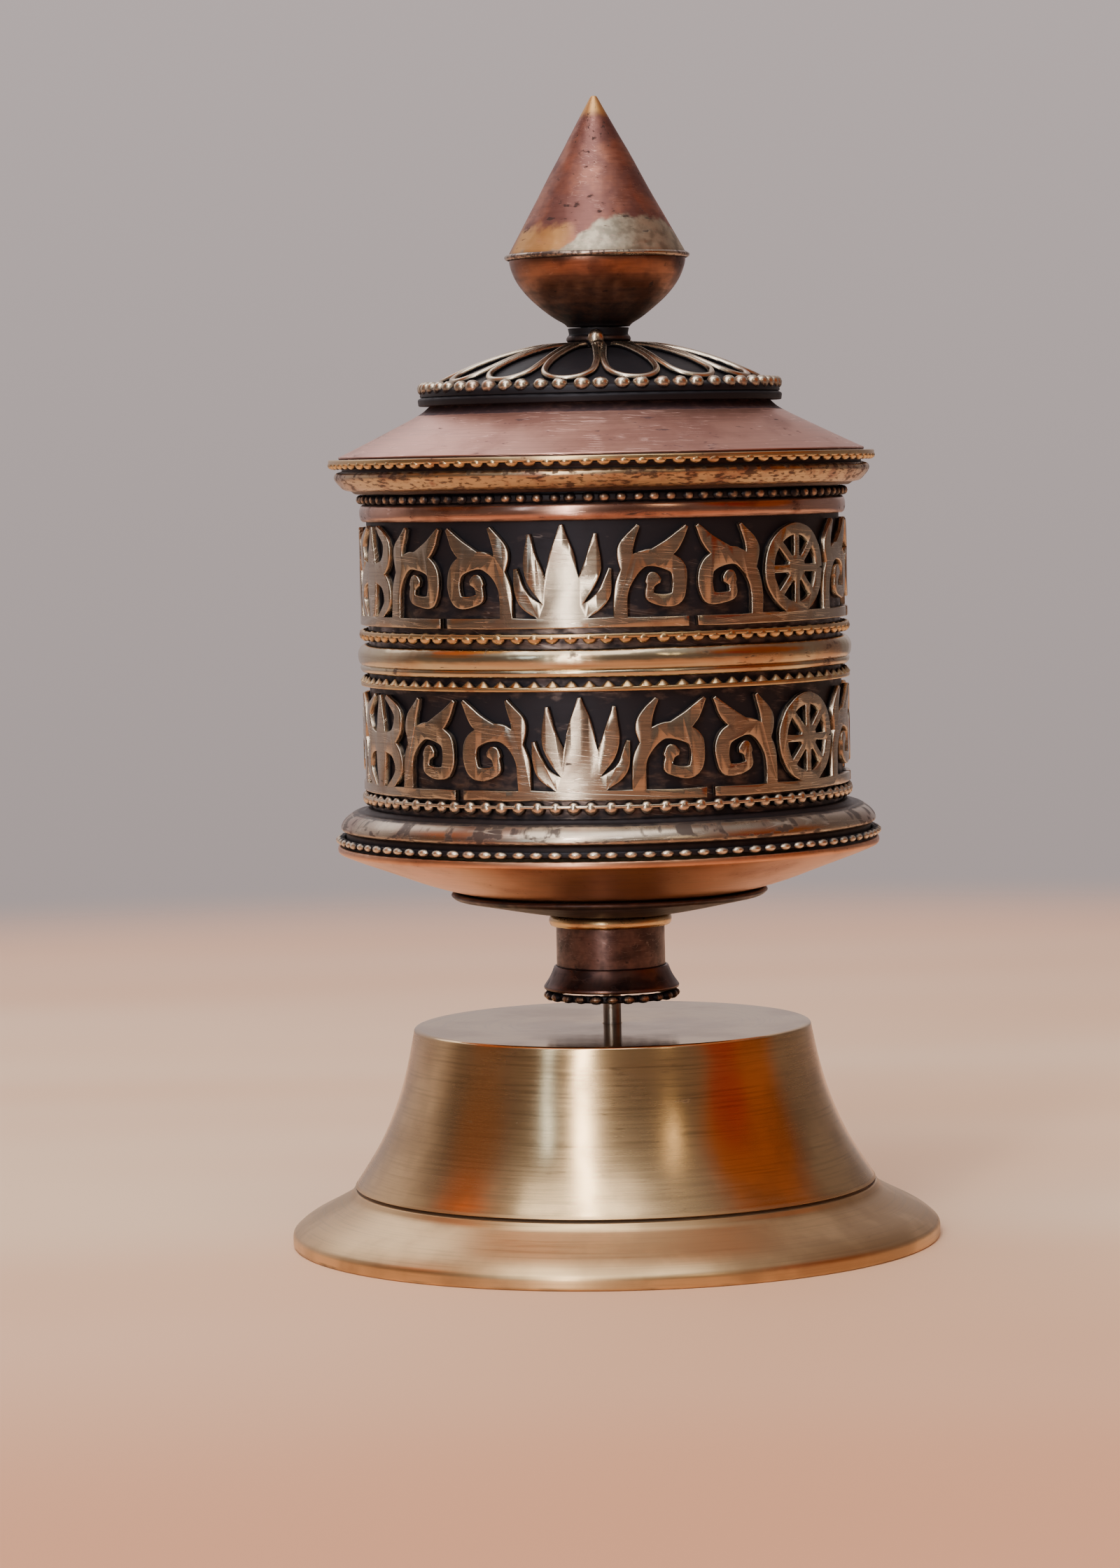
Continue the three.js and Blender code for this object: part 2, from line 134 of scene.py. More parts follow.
class Graph:
    """The node tree of one material, world or light."""

    def __init__(self, tree: bpy.types.NodeTree) -> None:
        """Empties the tree, ready to be built."""
        self.tree = tree
        tree.nodes.clear()

    def node(
        self, kind: str, settings: dict | None = None, inputs: dict | None = None
    ) -> bpy.types.Node:
        """Adds a node.

        Args:
            kind: The node's type.
            settings: Its properties, which are set first.
            inputs: A value or a link for each socket, by name or index.

        Returns:
            The new node.
        """
        made = self.tree.nodes.new(kind)
        for key, value in (settings or {}).items():
            setattr(made, key, value)
        for key, value in (inputs or {}).items():
            if isinstance(value, Value):
                value = value.socket
            if isinstance(value, bpy.types.NodeSocket):
                self.tree.links.new(value, made.inputs[key])
            else:
                made.inputs[key].default_value = value
        return made

    def math(self, operation: str, *values: "Value | float") -> Value:
        """Adds a Math node and returns its result."""
        made = self.node("ShaderNodeMath", {"operation": operation}, dict(enumerate(values)))
        return Value(self, made.outputs[0])

    def vector(self, operation: str, *values: object) -> bpy.types.NodeSocket:
        """Adds a Vector Math node and returns its vector."""
        made = self.node("ShaderNodeVectorMath", {"operation": operation}, dict(enumerate(values)))
        return made.outputs["Vector"]

    def towards(self, where: object, direction: Sequence[float]) -> Value:
        """Returns how far a vector points in a direction, from -1 to 1."""
        settings = {"operation": "DOT_PRODUCT"}
        made = self.node("ShaderNodeVectorMath", settings, {0: where, 1: direction})
        return Value(self, made.outputs["Value"])

    def mix(self, factor: "Value | float", first: object, second: object) -> bpy.types.NodeSocket:
        """Mixes two colours.

        Args:
            factor: 0 gives the first colour and 1 the second.
            first: A colour, or the socket of one.
            second: A colour, or the socket of one.

        Returns:
            The mixed colour's socket.
        """
        colours = [(*c, 1.0) if isinstance(c, tuple) else c for c in (first, second)]
        made = self.node(
            "ShaderNodeMix",
            {"data_type": "RGBA"},
            {0: factor, 6: colours[0], 7: colours[1]},
        )
        return made.outputs[2]

    def noise(self, where: object, scale: float, detail: float = 2.0) -> Value:
        """Returns soft noise between 0 and 1 at a vector, with its scale in waves per unit."""
        inputs = {"Vector": where, "Scale": scale, "Detail": detail}
        return Value(self, self.node("ShaderNodeTexNoise", None, inputs).outputs[0])

    def attribute(self, name: str) -> Value:
        """Returns the piece's own attribute of that name."""
        made = self.node("ShaderNodeAttribute", {"attribute_name": name})
        return Value(self, made.outputs["Fac"])

    def surface(self, relief: Value | None = None, **sockets: object) -> None:
        """Ends the material in one shader.

        Args:
            relief: The height of its fine relief, in millimetres.
            sockets: Values and links for the shader, with underscores for spaces in names.
        """
        inputs = {name.replace("_", " "): value for name, value in sockets.items()}
        if relief:
            bump = {"Strength": 1.0, "Distance": MM, "Height": relief}
            inputs["Normal"] = self.node("ShaderNodeBump", None, bump).outputs[0]
        shader = self.node("ShaderNodeBsdfPrincipled", None, inputs)
        self.node("ShaderNodeOutputMaterial", None, {"Surface": shader.outputs[0]})


def new_material(name: str) -> tuple[bpy.types.Material, Graph]:
    """Returns a new material and its empty graph."""
    made = bpy.data.materials.new(name)
    made.use_nodes = True
    return made, Graph(made.node_tree)


class TurnedSpace:
    """Place, height, radius and direction on a surface turned about Z, in millimetres."""

    def __init__(self, graph: Graph, outward: float = 0.9) -> None:
        """Builds the coordinates from Object coordinates.

        Args:
            graph: The material's nodes.
            outward: The share of the radius in the place along the profile. It is negative
                where the profile falls as it widens.
        """
        self.graph = graph
        self.outward = outward
        coordinates = graph.node("ShaderNodeTexCoord").outputs["Object"]
        self.place = graph.vector("MULTIPLY", coordinates, (1 / MM,) * 3)
        parts = graph.node("ShaderNodeSeparateXYZ", None, {0: self.place})
        self.height = Value(graph, parts.outputs[2])
        flat = graph.vector("MULTIPLY", self.place, (1, 1, 0))
        length = graph.node("ShaderNodeVectorMath", {"operation": "LENGTH"}, {0: flat})
        self.radius = Value(graph, length.outputs["Value"])
        self.around = graph.vector("NORMALIZE", flat)

    def rings(self, around: float, along: float, lean: float = 0.0) -> bpy.types.NodeSocket:
        """Returns a vector whose noise makes rings round the axis.

        Args:
            around: How fast the noise changes round the axis.
            along: How fast it changes along the profile, per millimetre.
            lean: How far the rings lean off the level.

        Returns:
            The vector's socket.
        """
        level = (self.height + self.radius * self.outward) * along
        parts = self.graph.node("ShaderNodeSeparateXYZ", None, {0: self.around})
        leaning = level + Value(self.graph, parts.outputs[0]) * lean
        rise = self.graph.node("ShaderNodeCombineXYZ", None, {2: leaning}).outputs[0]
        wide = self.graph.vector("MULTIPLY", self.around, (around,) * 3)
        return self.graph.vector("ADD", wide, rise)

    def facing(self, degrees: float) -> Value:
        """Returns 1 where the surface faces so many degrees right of the front, down to -1."""
        return self.graph.towards(self.around, sight(degrees))


# ---------- finishes ----------


@dataclass(frozen=True)
class Finish:
    """What a piece is made of."""

    name: str
    slot: str

    def paint(self, graph: Graph) -> None:
        """Fills the material's graph."""

    def build(self) -> bpy.types.Material:
        """Returns the material, built the first time it is asked for."""
        made = bpy.data.materials.get(self.name)
        if not made:
            made, graph = new_material(self.name)
            self.paint(graph)
        return made


@dataclass(frozen=True)
class Metal(Finish):
    """A metal with a polished tone, a second tone in soft patches, and oxide in its recesses.

    Depths are in millimetres. The wear attribute is 1 on raised places and 0 in recesses. On some
    pieces it is also set low where shade falls, so that the oxide colour there is painted shade.
    """

    bright: Colour
    second: Colour
    oxide: Colour
    roughness: float
    patches: float = 0.45
    patch_scale: float = 0.16
    flecks: float = 0.3
    fleck_scale: float = 3.0
    fleck_around: float = 45.0
    grain_depth: float = 0.004
    grain_along: float = 3.0
    scratches: float = 0.3
    scratch_lean: float = 0.0
    rub: float = 0.5
    rub_spread: float = 0.45
    anisotropy: float = 0.0
    hammer: float = 0.0
    outward: float = 0.9

    def colour(
        self, graph: Graph, space: TurnedSpace, tones: dict[str, Value]
    ) -> bpy.types.NodeSocket:
        """Returns the metal's colour before its oxide is laid over it."""
        toned = graph.mix(tones["patch"], self.bright, self.second)
        dimmed = tuple(c * 0.7 for c in self.second)
        return graph.mix(tones["grain"].step(0.55, 0.25) * 0.4, toned, dimmed)

    def rough(self, space: TurnedSpace, tones: dict[str, Value]) -> Value:
        """Returns the roughness of the bare metal."""
        return self.roughness + tones["grain"] * 0.1 + tones["patch"] * 0.06

    def paint(self, graph: Graph) -> None:
        """Lays oxide, scratches and fine relief over the metal, with painted shade where the wear
        is set low and a painted glint on the scratches.
        """
        space = TurnedSpace(graph, self.outward)
        wear = graph.attribute("wear")
        cloud = graph.noise(space.place, self.patch_scale, 5.0)
        grit = graph.noise(space.rings(self.fleck_around, self.fleck_scale), 1.0, 5.0)
        grain = graph.noise(space.rings(2.5, self.grain_along), 1.0, 4.0)
        hair = graph.noise(space.rings(3.0, 1.9, self.scratch_lean), 1.0, 1.5)
        broken = graph.noise(space.place, 0.35, 1.0).step(0.42, 0.62)
        scratch = abs(hair - 0.5).step(0.018, 0.0) * broken
        patch = cloud.step(0.75 - self.patches * 0.5, 0.95 - self.patches * 0.5)
        tones = {"patch": patch, "grain": grain}
        limit = 0.78 - self.flecks * 0.3
        fleck = (grit + (cloud - 0.5) * 0.5).step(limit, limit + 0.1)
        rubbed_and_painted_light = (wear + (grit - 0.5) * 0.5 + (cloud - 0.5) * 0.5).step(
            self.rub - self.rub_spread * 0.5, self.rub + self.rub_spread * 0.5
        )
        oxide = 1 - rubbed_and_painted_light * (1 - fleck * 0.8)
        base = graph.mix(oxide, self.colour(graph, space, tones), self.oxide)
        # Scratches are painted paler than the polished metal: partly bare fresh metal, partly a
        # painted glint.
        lit = tuple(min(c * 1.35 + 0.16, 1.0) for c in self.bright)
        base = graph.mix(scratch * rubbed_and_painted_light * self.scratches, base, lit)
        rough = self.rough(space, tones) + oxide * 0.22 - scratch * 0.06
        dented = graph.noise(space.place, 0.55, 1.0) * self.hammer
        relief = (grain - scratch * self.scratches) * self.grain_depth - fleck * 0.003 + dented
        graph.surface(
            relief, Base_Color=base, Metallic=1 - oxide * 0.35, Roughness=rough,
            Anisotropic=self.anisotropy, Anisotropic_Rotation=0.25,
        )


@dataclass(frozen=True)
class TurnedBrass(Metal):
    """Brass that is polished down to a groove, and satin with coarse lathe marks beyond it."""

    groove_radius: float = 28.9
    satin: float = 0.15
    plate_height: float = 24.0

    def rough(self, space: TurnedSpace, tones: dict[str, Value]) -> Value:
        """Returns the roughness, which is greater beyond the groove."""
        beyond = space.radius.step(self.groove_radius - 0.1, self.groove_radius + 0.1)
        plate = space.height.step(self.plate_height - 0.3, self.plate_height - 0.1)
        return Metal.rough(self, space, tones) + beyond * self.satin - plate * 0.09


@dataclass(frozen=True)
class SolderedCopper(Metal):
    """Copper with pale solder flooded over its lower edge in uneven tongues, a golden tip, and a
    golden patch on its left that is a painted reflection.
    """

    solder: Colour = (0.62, 0.55, 0.42)
    seam: float = 109.3
    tongue: float = 3.9
    # Gold for the tip, and for the painted reflection on the left.
    gold: Colour = (0.62, 0.34, 0.13)
    tip: float = 16.2

    def colour(
        self, graph: Graph, space: TurnedSpace, tones: dict[str, Value]
    ) -> bpy.types.NodeSocket:
        """Returns the copper with solder near the seam, its golden tip, and a painted golden
        reflection on the left just above the seam.
        """
        plain = Metal.colour(self, graph, space, tones)
        over = space.height - self.seam
        ragged = (graph.noise(space.place, 0.7, 3.0) - 0.5) * 2.4
        front = space.facing(35).step(0.42, 0.93) * self.tongue
        back = space.facing(-150).step(0.7, 0.95) * self.tongue * 0.7
        flooded = (front + back + ragged * 0.8 + 0.2 - over).step(-0.25, 0.45)
        # Painted reflection: the band that faces left just above the seam is painted gold, standing
        # for a warm light reflected there.
        rubbed_and_painted_light = space.facing(-50).step(0.80, 0.97) * (3.0 + ragged - over).step(-0.6, 0.6)
        tip = (over + ragged * 0.5).step(self.tip - 1.2, self.tip)
        plain = graph.mix(rubbed_and_painted_light + tip, plain, self.gold)
        lumps = graph.noise(space.place, 0.9, 4.0).step(0.4, 0.65)
        murky = graph.mix(lumps, self.solder, tuple(c * 0.62 for c in self.solder))
        return graph.mix(flooded * over.step(-0.5, -0.2), plain, murky)


@dataclass(frozen=True)
class Matt(Finish):
    """A plain dull material with fibres, for the paper roll and its ties."""

    base: Colour
    second: Colour
    roughness: float = 0.9
    layers: float = 0.0

    def paint(self, graph: Graph) -> None:
        """Mixes the two colours by fibres and layers."""
        space = TurnedSpace(graph)
        fibre = graph.noise(space.place, 3.0, 4.0)
        layer = graph.noise(space.rings(0.6, 4.0), 1.0, 2.0) * self.layers
        base = graph.mix((fibre * 0.6 + layer).step(0.25, 0.95), self.base, self.second)
        relief = fibre * 0.02 + layer * 0.06
        graph.surface(relief, Base_Color=base, Roughness=self.roughness)


# The darkest oxide colour. On the finial cup and the petal disc's underside it also stands for
# painted shade, where their wear is set low.
SOOT_AND_PAINTED_SHADE = (0.016, 0.014, 0.018)
FOOT_BRASS = TurnedBrass(
    "foot_brass", "polished_brass", (0.70, 0.47, 0.24), (0.50, 0.33, 0.17),
    (0.10, 0.07, 0.045), 0.16, patches=0.66, patch_scale=0.09, flecks=0.12, fleck_scale=0.8,
    fleck_around=7.0, grain_depth=0.0045, grain_along=3.4, scratches=0.0, rub=0.2,
    rub_spread=0.3, anisotropy=0.5, outward=-0.9,
)
INNER_BRASS = Metal(
    "inner_brass", "aged_brass", (0.66, 0.46, 0.24), (0.50, 0.33, 0.17), (0.10, 0.07, 0.05),
    0.32, flecks=0.2, rub=0.2,
)
GOLD_BRASS = Metal(
    "gold_brass", "aged_brass", (0.49, 0.345, 0.20), (0.28, 0.15, 0.10), (0.035, 0.018, 0.016),
    0.25, patches=0.6, patch_scale=0.4, flecks=0.9, fleck_scale=2.6, fleck_around=30.0,
    grain_depth=0.009, scratches=0.4, rub=0.54, rub_spread=0.4, anisotropy=0.3,
)
TOOTH_BRASS = Metal(
    "tooth_brass", "aged_brass", (0.62, 0.43, 0.22), (0.42, 0.24, 0.13), (0.03, 0.018, 0.016),
    0.23, patches=0.5, patch_scale=0.3, flecks=0.4, scratches=0.0, grain_depth=0.003,
    rub_spread=0.4,
)
BAND_BRASS = Metal(
    "band_brass", "aged_brass", (0.56, 0.46, 0.30), (0.44, 0.26, 0.14), (0.035, 0.02, 0.018),
    0.15, patches=0.55, patch_scale=0.12, flecks=0.45, fleck_scale=1.4, fleck_around=12.0,
    grain_depth=0.005, rub_spread=0.35, anisotropy=0.4, hammer=0.05,
)
PLATE_BRASS = Metal(
    "plate_brass", "white_brass", (0.43, 0.35, 0.265), (0.32, 0.24, 0.18), SOOT_AND_PAINTED_SHADE, 0.2,
    patches=0.5, patch_scale=0.2, fleck_scale=1.6, fleck_around=16.0, grain_depth=0.009,
    grain_along=5.0, scratches=0.7, scratch_lean=6.0, rub=0.45, rub_spread=0.3, anisotropy=0.5,
)
PALE_BRASS = Metal(
    "pale_brass", "white_brass", (0.45, 0.36, 0.27), (0.36, 0.235, 0.18), (0.03, 0.022, 0.024),
    0.22, patches=0.65, patch_scale=0.16, flecks=0.9, fleck_scale=2.2, fleck_around=20.0,
    grain_depth=0.009, grain_along=5.0, scratches=0.6, rub=0.72, rub_spread=0.5,
    anisotropy=0.4,
)
WIRE_BRASS = Metal(
    "wire_brass", "white_brass", (0.68, 0.56, 0.42), (0.56, 0.40, 0.30), SOOT_AND_PAINTED_SHADE, 0.22, rub=0.6,
    rub_spread=0.4, scratches=0.0, grain_depth=0.002,
)
BEAD_BRASS = Metal(
    "bead_brass", "aged_brass", (0.66, 0.45, 0.30), (0.46, 0.28, 0.19), SOOT_AND_PAINTED_SHADE, 0.22, rub=0.9,
    rub_spread=0.35, scratches=0.0, grain_depth=0.002,
)
PINK_COPPER = Metal(
    "pink_copper", "copper", (0.62, 0.32, 0.25), (0.44, 0.215, 0.17), (0.07, 0.04, 0.045),
    0.33, patches=0.6, patch_scale=0.13, flecks=0.45, fleck_scale=1.3, fleck_around=16.0,
    grain_depth=0.011, scratches=1.0, scratch_lean=2.6, rub=0.42, rub_spread=0.5,
    anisotropy=0.3, outward=-0.9,
)
WARM_COPPER = Metal(
    "warm_copper", "copper", (0.54, 0.30, 0.22), (0.30, 0.15, 0.11), (0.03, 0.016, 0.015),
    0.17, patches=0.55, patch_scale=0.2, flecks=0.45, fleck_scale=1.6, fleck_around=12.0,
    grain_depth=0.006, scratches=0.4, rub=0.55, rub_spread=0.6, anisotropy=0.4,
)
BOWL_COPPER = Metal(
    "bowl_copper", "copper", (0.66, 0.34, 0.20), (0.46, 0.22, 0.13), (0.04, 0.022, 0.02), 0.3,
    patches=0.55, patch_scale=0.12, flecks=0.35, fleck_scale=2.6, grain_depth=0.005, rub=0.45,
    rub_spread=0.5, anisotropy=0.4,
)
FINIAL_COPPER = SolderedCopper(
    "finial_copper", "copper", (0.38, 0.155, 0.105), (0.22, 0.10, 0.085), (0.04, 0.022, 0.02),
    0.4, patches=0.75, patch_scale=0.24, flecks=0.5, fleck_scale=1.2, fleck_around=5.0,
    grain_depth=0.006, scratch_lean=1.5, rub=0.45, rub_spread=0.6, hammer=0.09, outward=-0.9,
    solder=(0.46, 0.39, 0.29),
)
CUP_COPPER = Metal(
    "cup_copper", "copper", (0.27, 0.12, 0.075), (0.13, 0.062, 0.045), SOOT_AND_PAINTED_SHADE, 0.26, patches=0.6,
    patch_scale=0.3, flecks=0.4, fleck_scale=1.0, fleck_around=6.0, grain_depth=0.006,
    scratches=0.2, rub=0.55, rub_spread=0.7, hammer=0.05,
)
BLACK_COPPER = Metal(
    "black_copper", "dark_copper", (0.15, 0.095, 0.08), (0.05, 0.042, 0.045), SOOT_AND_PAINTED_SHADE, 0.24,
    patches=0.6, patch_scale=0.3, flecks=0.5, fleck_scale=1.2, fleck_around=8.0,
    grain_depth=0.006, scratches=0.2, rub=0.68, rub_spread=0.5, outward=-0.9,
)
WALL_COPPER = Metal(
    "wall_copper", "dark_copper", (0.19, 0.14, 0.12), (0.085, 0.062, 0.06),
    (0.018, 0.016, 0.022), 0.26, patches=0.6, patch_scale=0.35, flecks=0.4, fleck_scale=1.1,
    fleck_around=12.0, grain_depth=0.008, grain_along=2.0, scratches=0.6, scratch_lean=9.0,
    rub_spread=0.2,
)
SLEEVE_COPPER = Metal(
    "sleeve_copper", "dark_copper", (0.17, 0.10, 0.088), (0.065, 0.042, 0.041),
    (0.02, 0.013, 0.014), 0.24, patches=0.6, patch_scale=0.35, flecks=0.4, fleck_scale=1.2,
    fleck_around=8.0, grain_depth=0.005, rub=0.6, rub_spread=0.6,
)
PIN_STEEL = Metal(
    "pin_steel", "steel", (0.30, 0.27, 0.25), (0.18, 0.15, 0.13), (0.03, 0.025, 0.02), 0.3,
    rub=0.2,
)
ROLL_PAPER = Matt("roll_paper", "paper", (0.66, 0.55, 0.37), (0.42, 0.31, 0.18), layers=0.8)
TIE_THREAD = Matt("tie_thread", "thread", (0.32, 0.05, 0.035), (0.18, 0.03, 0.02))


# ---------- shaping ----------


@dataclass(frozen=True)
class Extent:
    """A turned node's outer radius and its lowest and highest point, in millimetres."""

    radius: float
    low: float
    high: float

    @classmethod
    def of(cls, node: str) -> "Extent":
        """Returns a CAD node's extent."""
        low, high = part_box(node)
        return cls(high.x / MM, low.z / MM, high.z / MM)

    @property
    def middle(self) -> float:
        """The height half way up."""
        return (self.low + self.high) / 2


@dataclass(frozen=True)
class Corner:
    """A corner of a turned piece's half section, in millimetres."""

    r: float
    z: float
    fillet: float = 0.0
    wear: float = 1.0


def rounded(corners: Sequence[Corner], closed: bool, steps: int = 6) -> list[Vector]:
    """Rounds the corners of an outline.

    Args:
        corners: The outline's corners with their fillets.
        closed: Whether the last corner joins the first.
        steps: How many edges a fillet gets.

    Returns:
        Points as vectors of radius, height and wear.
    """
    points: list[Vector] = []
    count = len(corners)
    for i, corner in enumerate(corners):
        here = Vector((corner.r, corner.z))
        end = not closed and i in (0, count - 1)
        if end or corner.fillet == 0:
            points.append(Vector((corner.r, corner.z, corner.wear)))
            continue
        arms = []
        for other in (corners[i - 1], corners[(i + 1) % count]):
            arm = Vector((other.r, other.z)) - here
            arms.append(arm.normalized() * min(corner.fillet, arm.length / 2))
        for k in range(steps + 1):
            t = k / steps
            place = here + arms[0] * (1 - t) ** 2 + arms[1] * t**2
            if not points or (place - points[-1].xy).length > MERGE:
                points.append(Vector((place.x, place.y, corner.wear)))
    return points


def flowing(points: Sequence[Vector], steps: int) -> list[Vector]:
    """Returns points on a smooth curve through the given ones.

    Args:
        points: Vectors of any size that the curve passes through.
        steps: How many points each stretch gets.

    Returns:
        The curve's points, with both ends.
    """
    padded = [points[0] * 2 - points[1], *points, points[-1] * 2 - points[-2]]
    curve = []
    for a, b, c, d in zip(padded, padded[1:], padded[2:], padded[3:]):
        for k in range(steps):
            t = k / steps
            cubic = (b * 3 - a - c * 3 + d) * t**3
            square = (a * 2 - b * 5 + c * 4 - d) * t**2
            curve.append((b * 2 + (c - a) * t + square + cubic) / 2)
    return [*curve, points[-1].copy()]


class Piece:
    """A mesh in the making, in millimetres, with a wear value on each vertex, which some pieces
    also set low to paint shade.
    """

    def __init__(self, name: str) -> None:
        """Starts an empty mesh."""
        self.name = name
        self.mesh = bmesh.new()
        self.wear = self.mesh.verts.layers.float.new("wear")

    def set_wear(
        self, verts: Iterable[bmesh.types.BMVert], rule: Callable[[Vector], float]
    ) -> None:
        """Gives each vertex the wear that a rule finds for its place."""
        for vert in verts:
            vert[self.wear] = min(max(rule(vert.co), 0.0), 1.0)

    def turn(self, corners: Sequence[Corner], sides: int = TURN_SIDES, steps: int = 6) -> None:
        """Spins an outline about Z.

        Args:
            corners: The half section, which starts and ends on the axis or is closed on itself.
            sides: How many sides the full turn has.
            steps: How many edges a fillet gets.
        """
        on_axis = corners[0].r == 0 and corners[-1].r == 0
        outline = rounded(corners, not on_axis, steps)
        verts = []
        for point in outline:
            vert = self.mesh.verts.new((point.x, 0, point.y))
            vert[self.wear] = point.z
            verts.append(vert)
        loop = verts if on_axis else [*verts, verts[0]]
        edges = [self.mesh.edges.new(pair) for pair in zip(loop, loop[1:])]
        bmesh.ops.spin(
            self.mesh, geom=verts + edges, cent=(0, 0, 0), axis=(0, 0, 1),
            angle=2 * math.pi, steps=sides, use_merge=True,
        )
        poles = [v for v in self.mesh.verts if math.hypot(v.co.x, v.co.y) < MERGE]
        bmesh.ops.remove_doubles(self.mesh, verts=poles, dist=MERGE)

    def dent(self, depth: float, size: float, seed: int) -> None:
        """Moves vertices a little along their normals, as handwork leaves them.

        Args:
            depth: The deepest dent. Nothing is raised, so the piece keeps inside its size.
            size: How wide the dents are.
            seed: Which dents.
        """
        self.mesh.normal_update()
        shift = Vector((seed * 7.3, seed * 3.1, seed * 5.7))
        for vert in self.mesh.verts:
            vert.co += vert.normal * depth * (noise.noise(vert.co / size + shift) - 1) / 2

    def absorb(self, other: "Piece") -> None:
        """Takes over another piece's mesh."""
        data = bpy.data.meshes.new(other.name)
        other.mesh.to_mesh(data)
        other.mesh.free()
        self.mesh.from_mesh(data)
        bpy.data.meshes.remove(data)

    def bead(self, place: Matrix, half: Vector, outward: Vector, pointed: bool = False) -> None:
        """Adds one bead.

        Args:
            place: The bead's place and direction, with X along the row and -Y outwards.
            half: Its half sizes along those axes.
            outward: The direction in which it is rubbed bright.
            pointed: Whether it is a tooth that points along its own Z.
        """
        one = Piece("bead")
        matrix = place @ Matrix.Diagonal((*half, 1))
        if pointed:
            made = bmesh.ops.create_cone(
                one.mesh, cap_ends=True, segments=BEAD_SIDES, radius1=1, radius2=0.16,
                depth=2, matrix=matrix,
            )
        else:
            made = bmesh.ops.create_uvsphere(
                one.mesh, u_segments=BEAD_SIDES, v_segments=6, radius=1, matrix=matrix
            )
        centre = place.translation
        reach = max(half)
        one.set_wear(made["verts"], lambda co: 0.35 + 0.75 * (co - centre).dot(outward) / reach)
        self.absorb(one)

    def sweep(self, path: Sequence[Vector], radius: float, up: Callable[[Vector], Vector]) -> None:
        """Draws a round wire along a path, rubbed bright on its upper side.

        Args:
            path: Points close together along the wire's middle.
            radius: The wire's radius.
            up: Gives the direction away from what the wire lies on, at a point.
        """
        one = Piece("wire")
        places = []
        last = len(path) - 1
        for i, point in enumerate(path):
            along = (path[min(i + 1, last)] - path[max(i - 1, 0)]).normalized()
            across = along.cross(up(point)).normalized()
            axes = Matrix((across, along.cross(across), along)).transposed()
            places.append(Matrix.Translation(point) @ axes.to_4x4())
        ring = bmesh.ops.create_circle(
            one.mesh, segments=BEAD_SIDES, radius=radius, matrix=places[0]
        )["verts"]
        rings = [ring]
        edges = list({e for v in ring for e in v.link_edges})
        ends = list(edges)
        for before, after in zip(places, places[1:]):
            grown = bmesh.ops.extrude_edge_only(one.mesh, edges=edges)["geom"]
            ring = [g for g in grown if isinstance(g, bmesh.types.BMVert)]
            edges = [g for g in grown if isinstance(g, bmesh.types.BMEdge)]
            edges = [e for e in edges if set(ring).issuperset(e.verts)]
            bmesh.ops.transform(one.mesh, matrix=after @ before.inverted(), verts=ring)
            rings.append(ring)
        bmesh.ops.holes_fill(one.mesh, edges=ends + edges, sides=0)
        for point, ring in zip(path, rings):
            away = up(point)
            one.set_wear(ring, lambda co: 0.45 + 0.8 * (co - point).dot(away) / radius)
        self.absorb(one)

    def finish(self, finish: Finish, body: str, *nodes: str) -> bpy.types.Object:
        """Turns the mesh into an object that rides on a body and stands for CAD nodes.

        Args:
            finish: What it is made of.
            body: The CAD body that it moves with.
            nodes: The CAD nodes that it replaces.

        Returns:
            The new object, at the origin.
        """
        bmesh.ops.recalc_face_normals(self.mesh, faces=self.mesh.faces)
        bmesh.ops.scale(self.mesh, vec=(MM, MM, MM), verts=self.mesh.verts)
        data = bpy.data.meshes.new(self.name)
        self.mesh.to_mesh(data)
        self.mesh.free()
        data.shade_smooth()
        data.set_sharp_from_angle(angle=SHARP_ANGLE)
        data.materials.append(finish.build())
        # The texture space is centred on the axis, so that brushed gloss runs round it.
        heights = [v.co.z for v in data.vertices]
        reach = max(max(abs(v.co.x), abs(v.co.y)) for v in data.vertices)
        data.use_auto_texspace = False
        data.texspace_location = (0, 0, (min(heights) + max(heights)) / 2)
        data.texspace_size = (reach, reach, max((max(heights) - min(heights)) / 2, MM))
        made = bpy.data.objects.new(self.name, data)
        bpy.context.scene.collection.objects.link(made)
        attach(made, body)
        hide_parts(*nodes)
        LOG.info("%s: %d faces on %s", self.name, len(data.polygons), body)
        return made


def turned_piece(
    node: str, body: str, finish: Finish, corners: Sequence[Corner],
    sides: int = TURN_SIDES, dents: tuple[float, float, int] | None = None,
) -> bpy.types.Object:
    """Makes the fine piece for one turned CAD node.

    Args:
        node: The node that it replaces.
        body: The body that it rides on.
        finish: What it is made of.
        corners: Its half section.
        sides: How many sides the full turn has.
        dents: Depth, size and seed of its dents, if it has any.

    Returns:
        The new object.
    """
    piece = Piece(node + "_piece")
    piece.turn(corners, sides)
    if dents:
        piece.dent(*dents)
    return piece.finish(finish, body, node)


def profile(radius: float, base: float, *rows: tuple[float, ...]) -> list[Corner]:
    """Returns corners that are given from a radius inwards and from a height upwards.

    Args:
        radius: The radius that the rows start from.
        base: The height that the rows start from.
        rows: Distance inwards, distance upwards, and then the fillet and wear where they matter.

    Returns:
        The corners.
    """
    return [Corner(radius - inwards, base + upwards, *rest) for inwards, upwards, *rest in rows]


def plain_tube(
    node: str, body: str, inner: float, outer: float = 0.0, fillet: float = 0.15
) -> bpy.types.Object:
    """Makes a plain brass tube or washer with broken edges for a CAD node.

    Args:
        node: The node that it replaces.
        body: The body that it rides on.
        inner: Its inner radius.
        outer: Its outer radius, if that isn't the node's own.
        fillet: How far its edges are broken.

    Returns:
        The new object.
    """
    tube = Extent.of(node)
    outer = outer or tube.radius
    corners = [
        Corner(inner, tube.low, fillet), Corner(outer, tube.low, fillet),
        Corner(outer, tube.high, fillet), Corner(inner, tube.high, fillet),
    ]
    return turned_piece(node, body, INNER_BRASS, corners, SMALL_SIDES)


# ---------- foot ----------


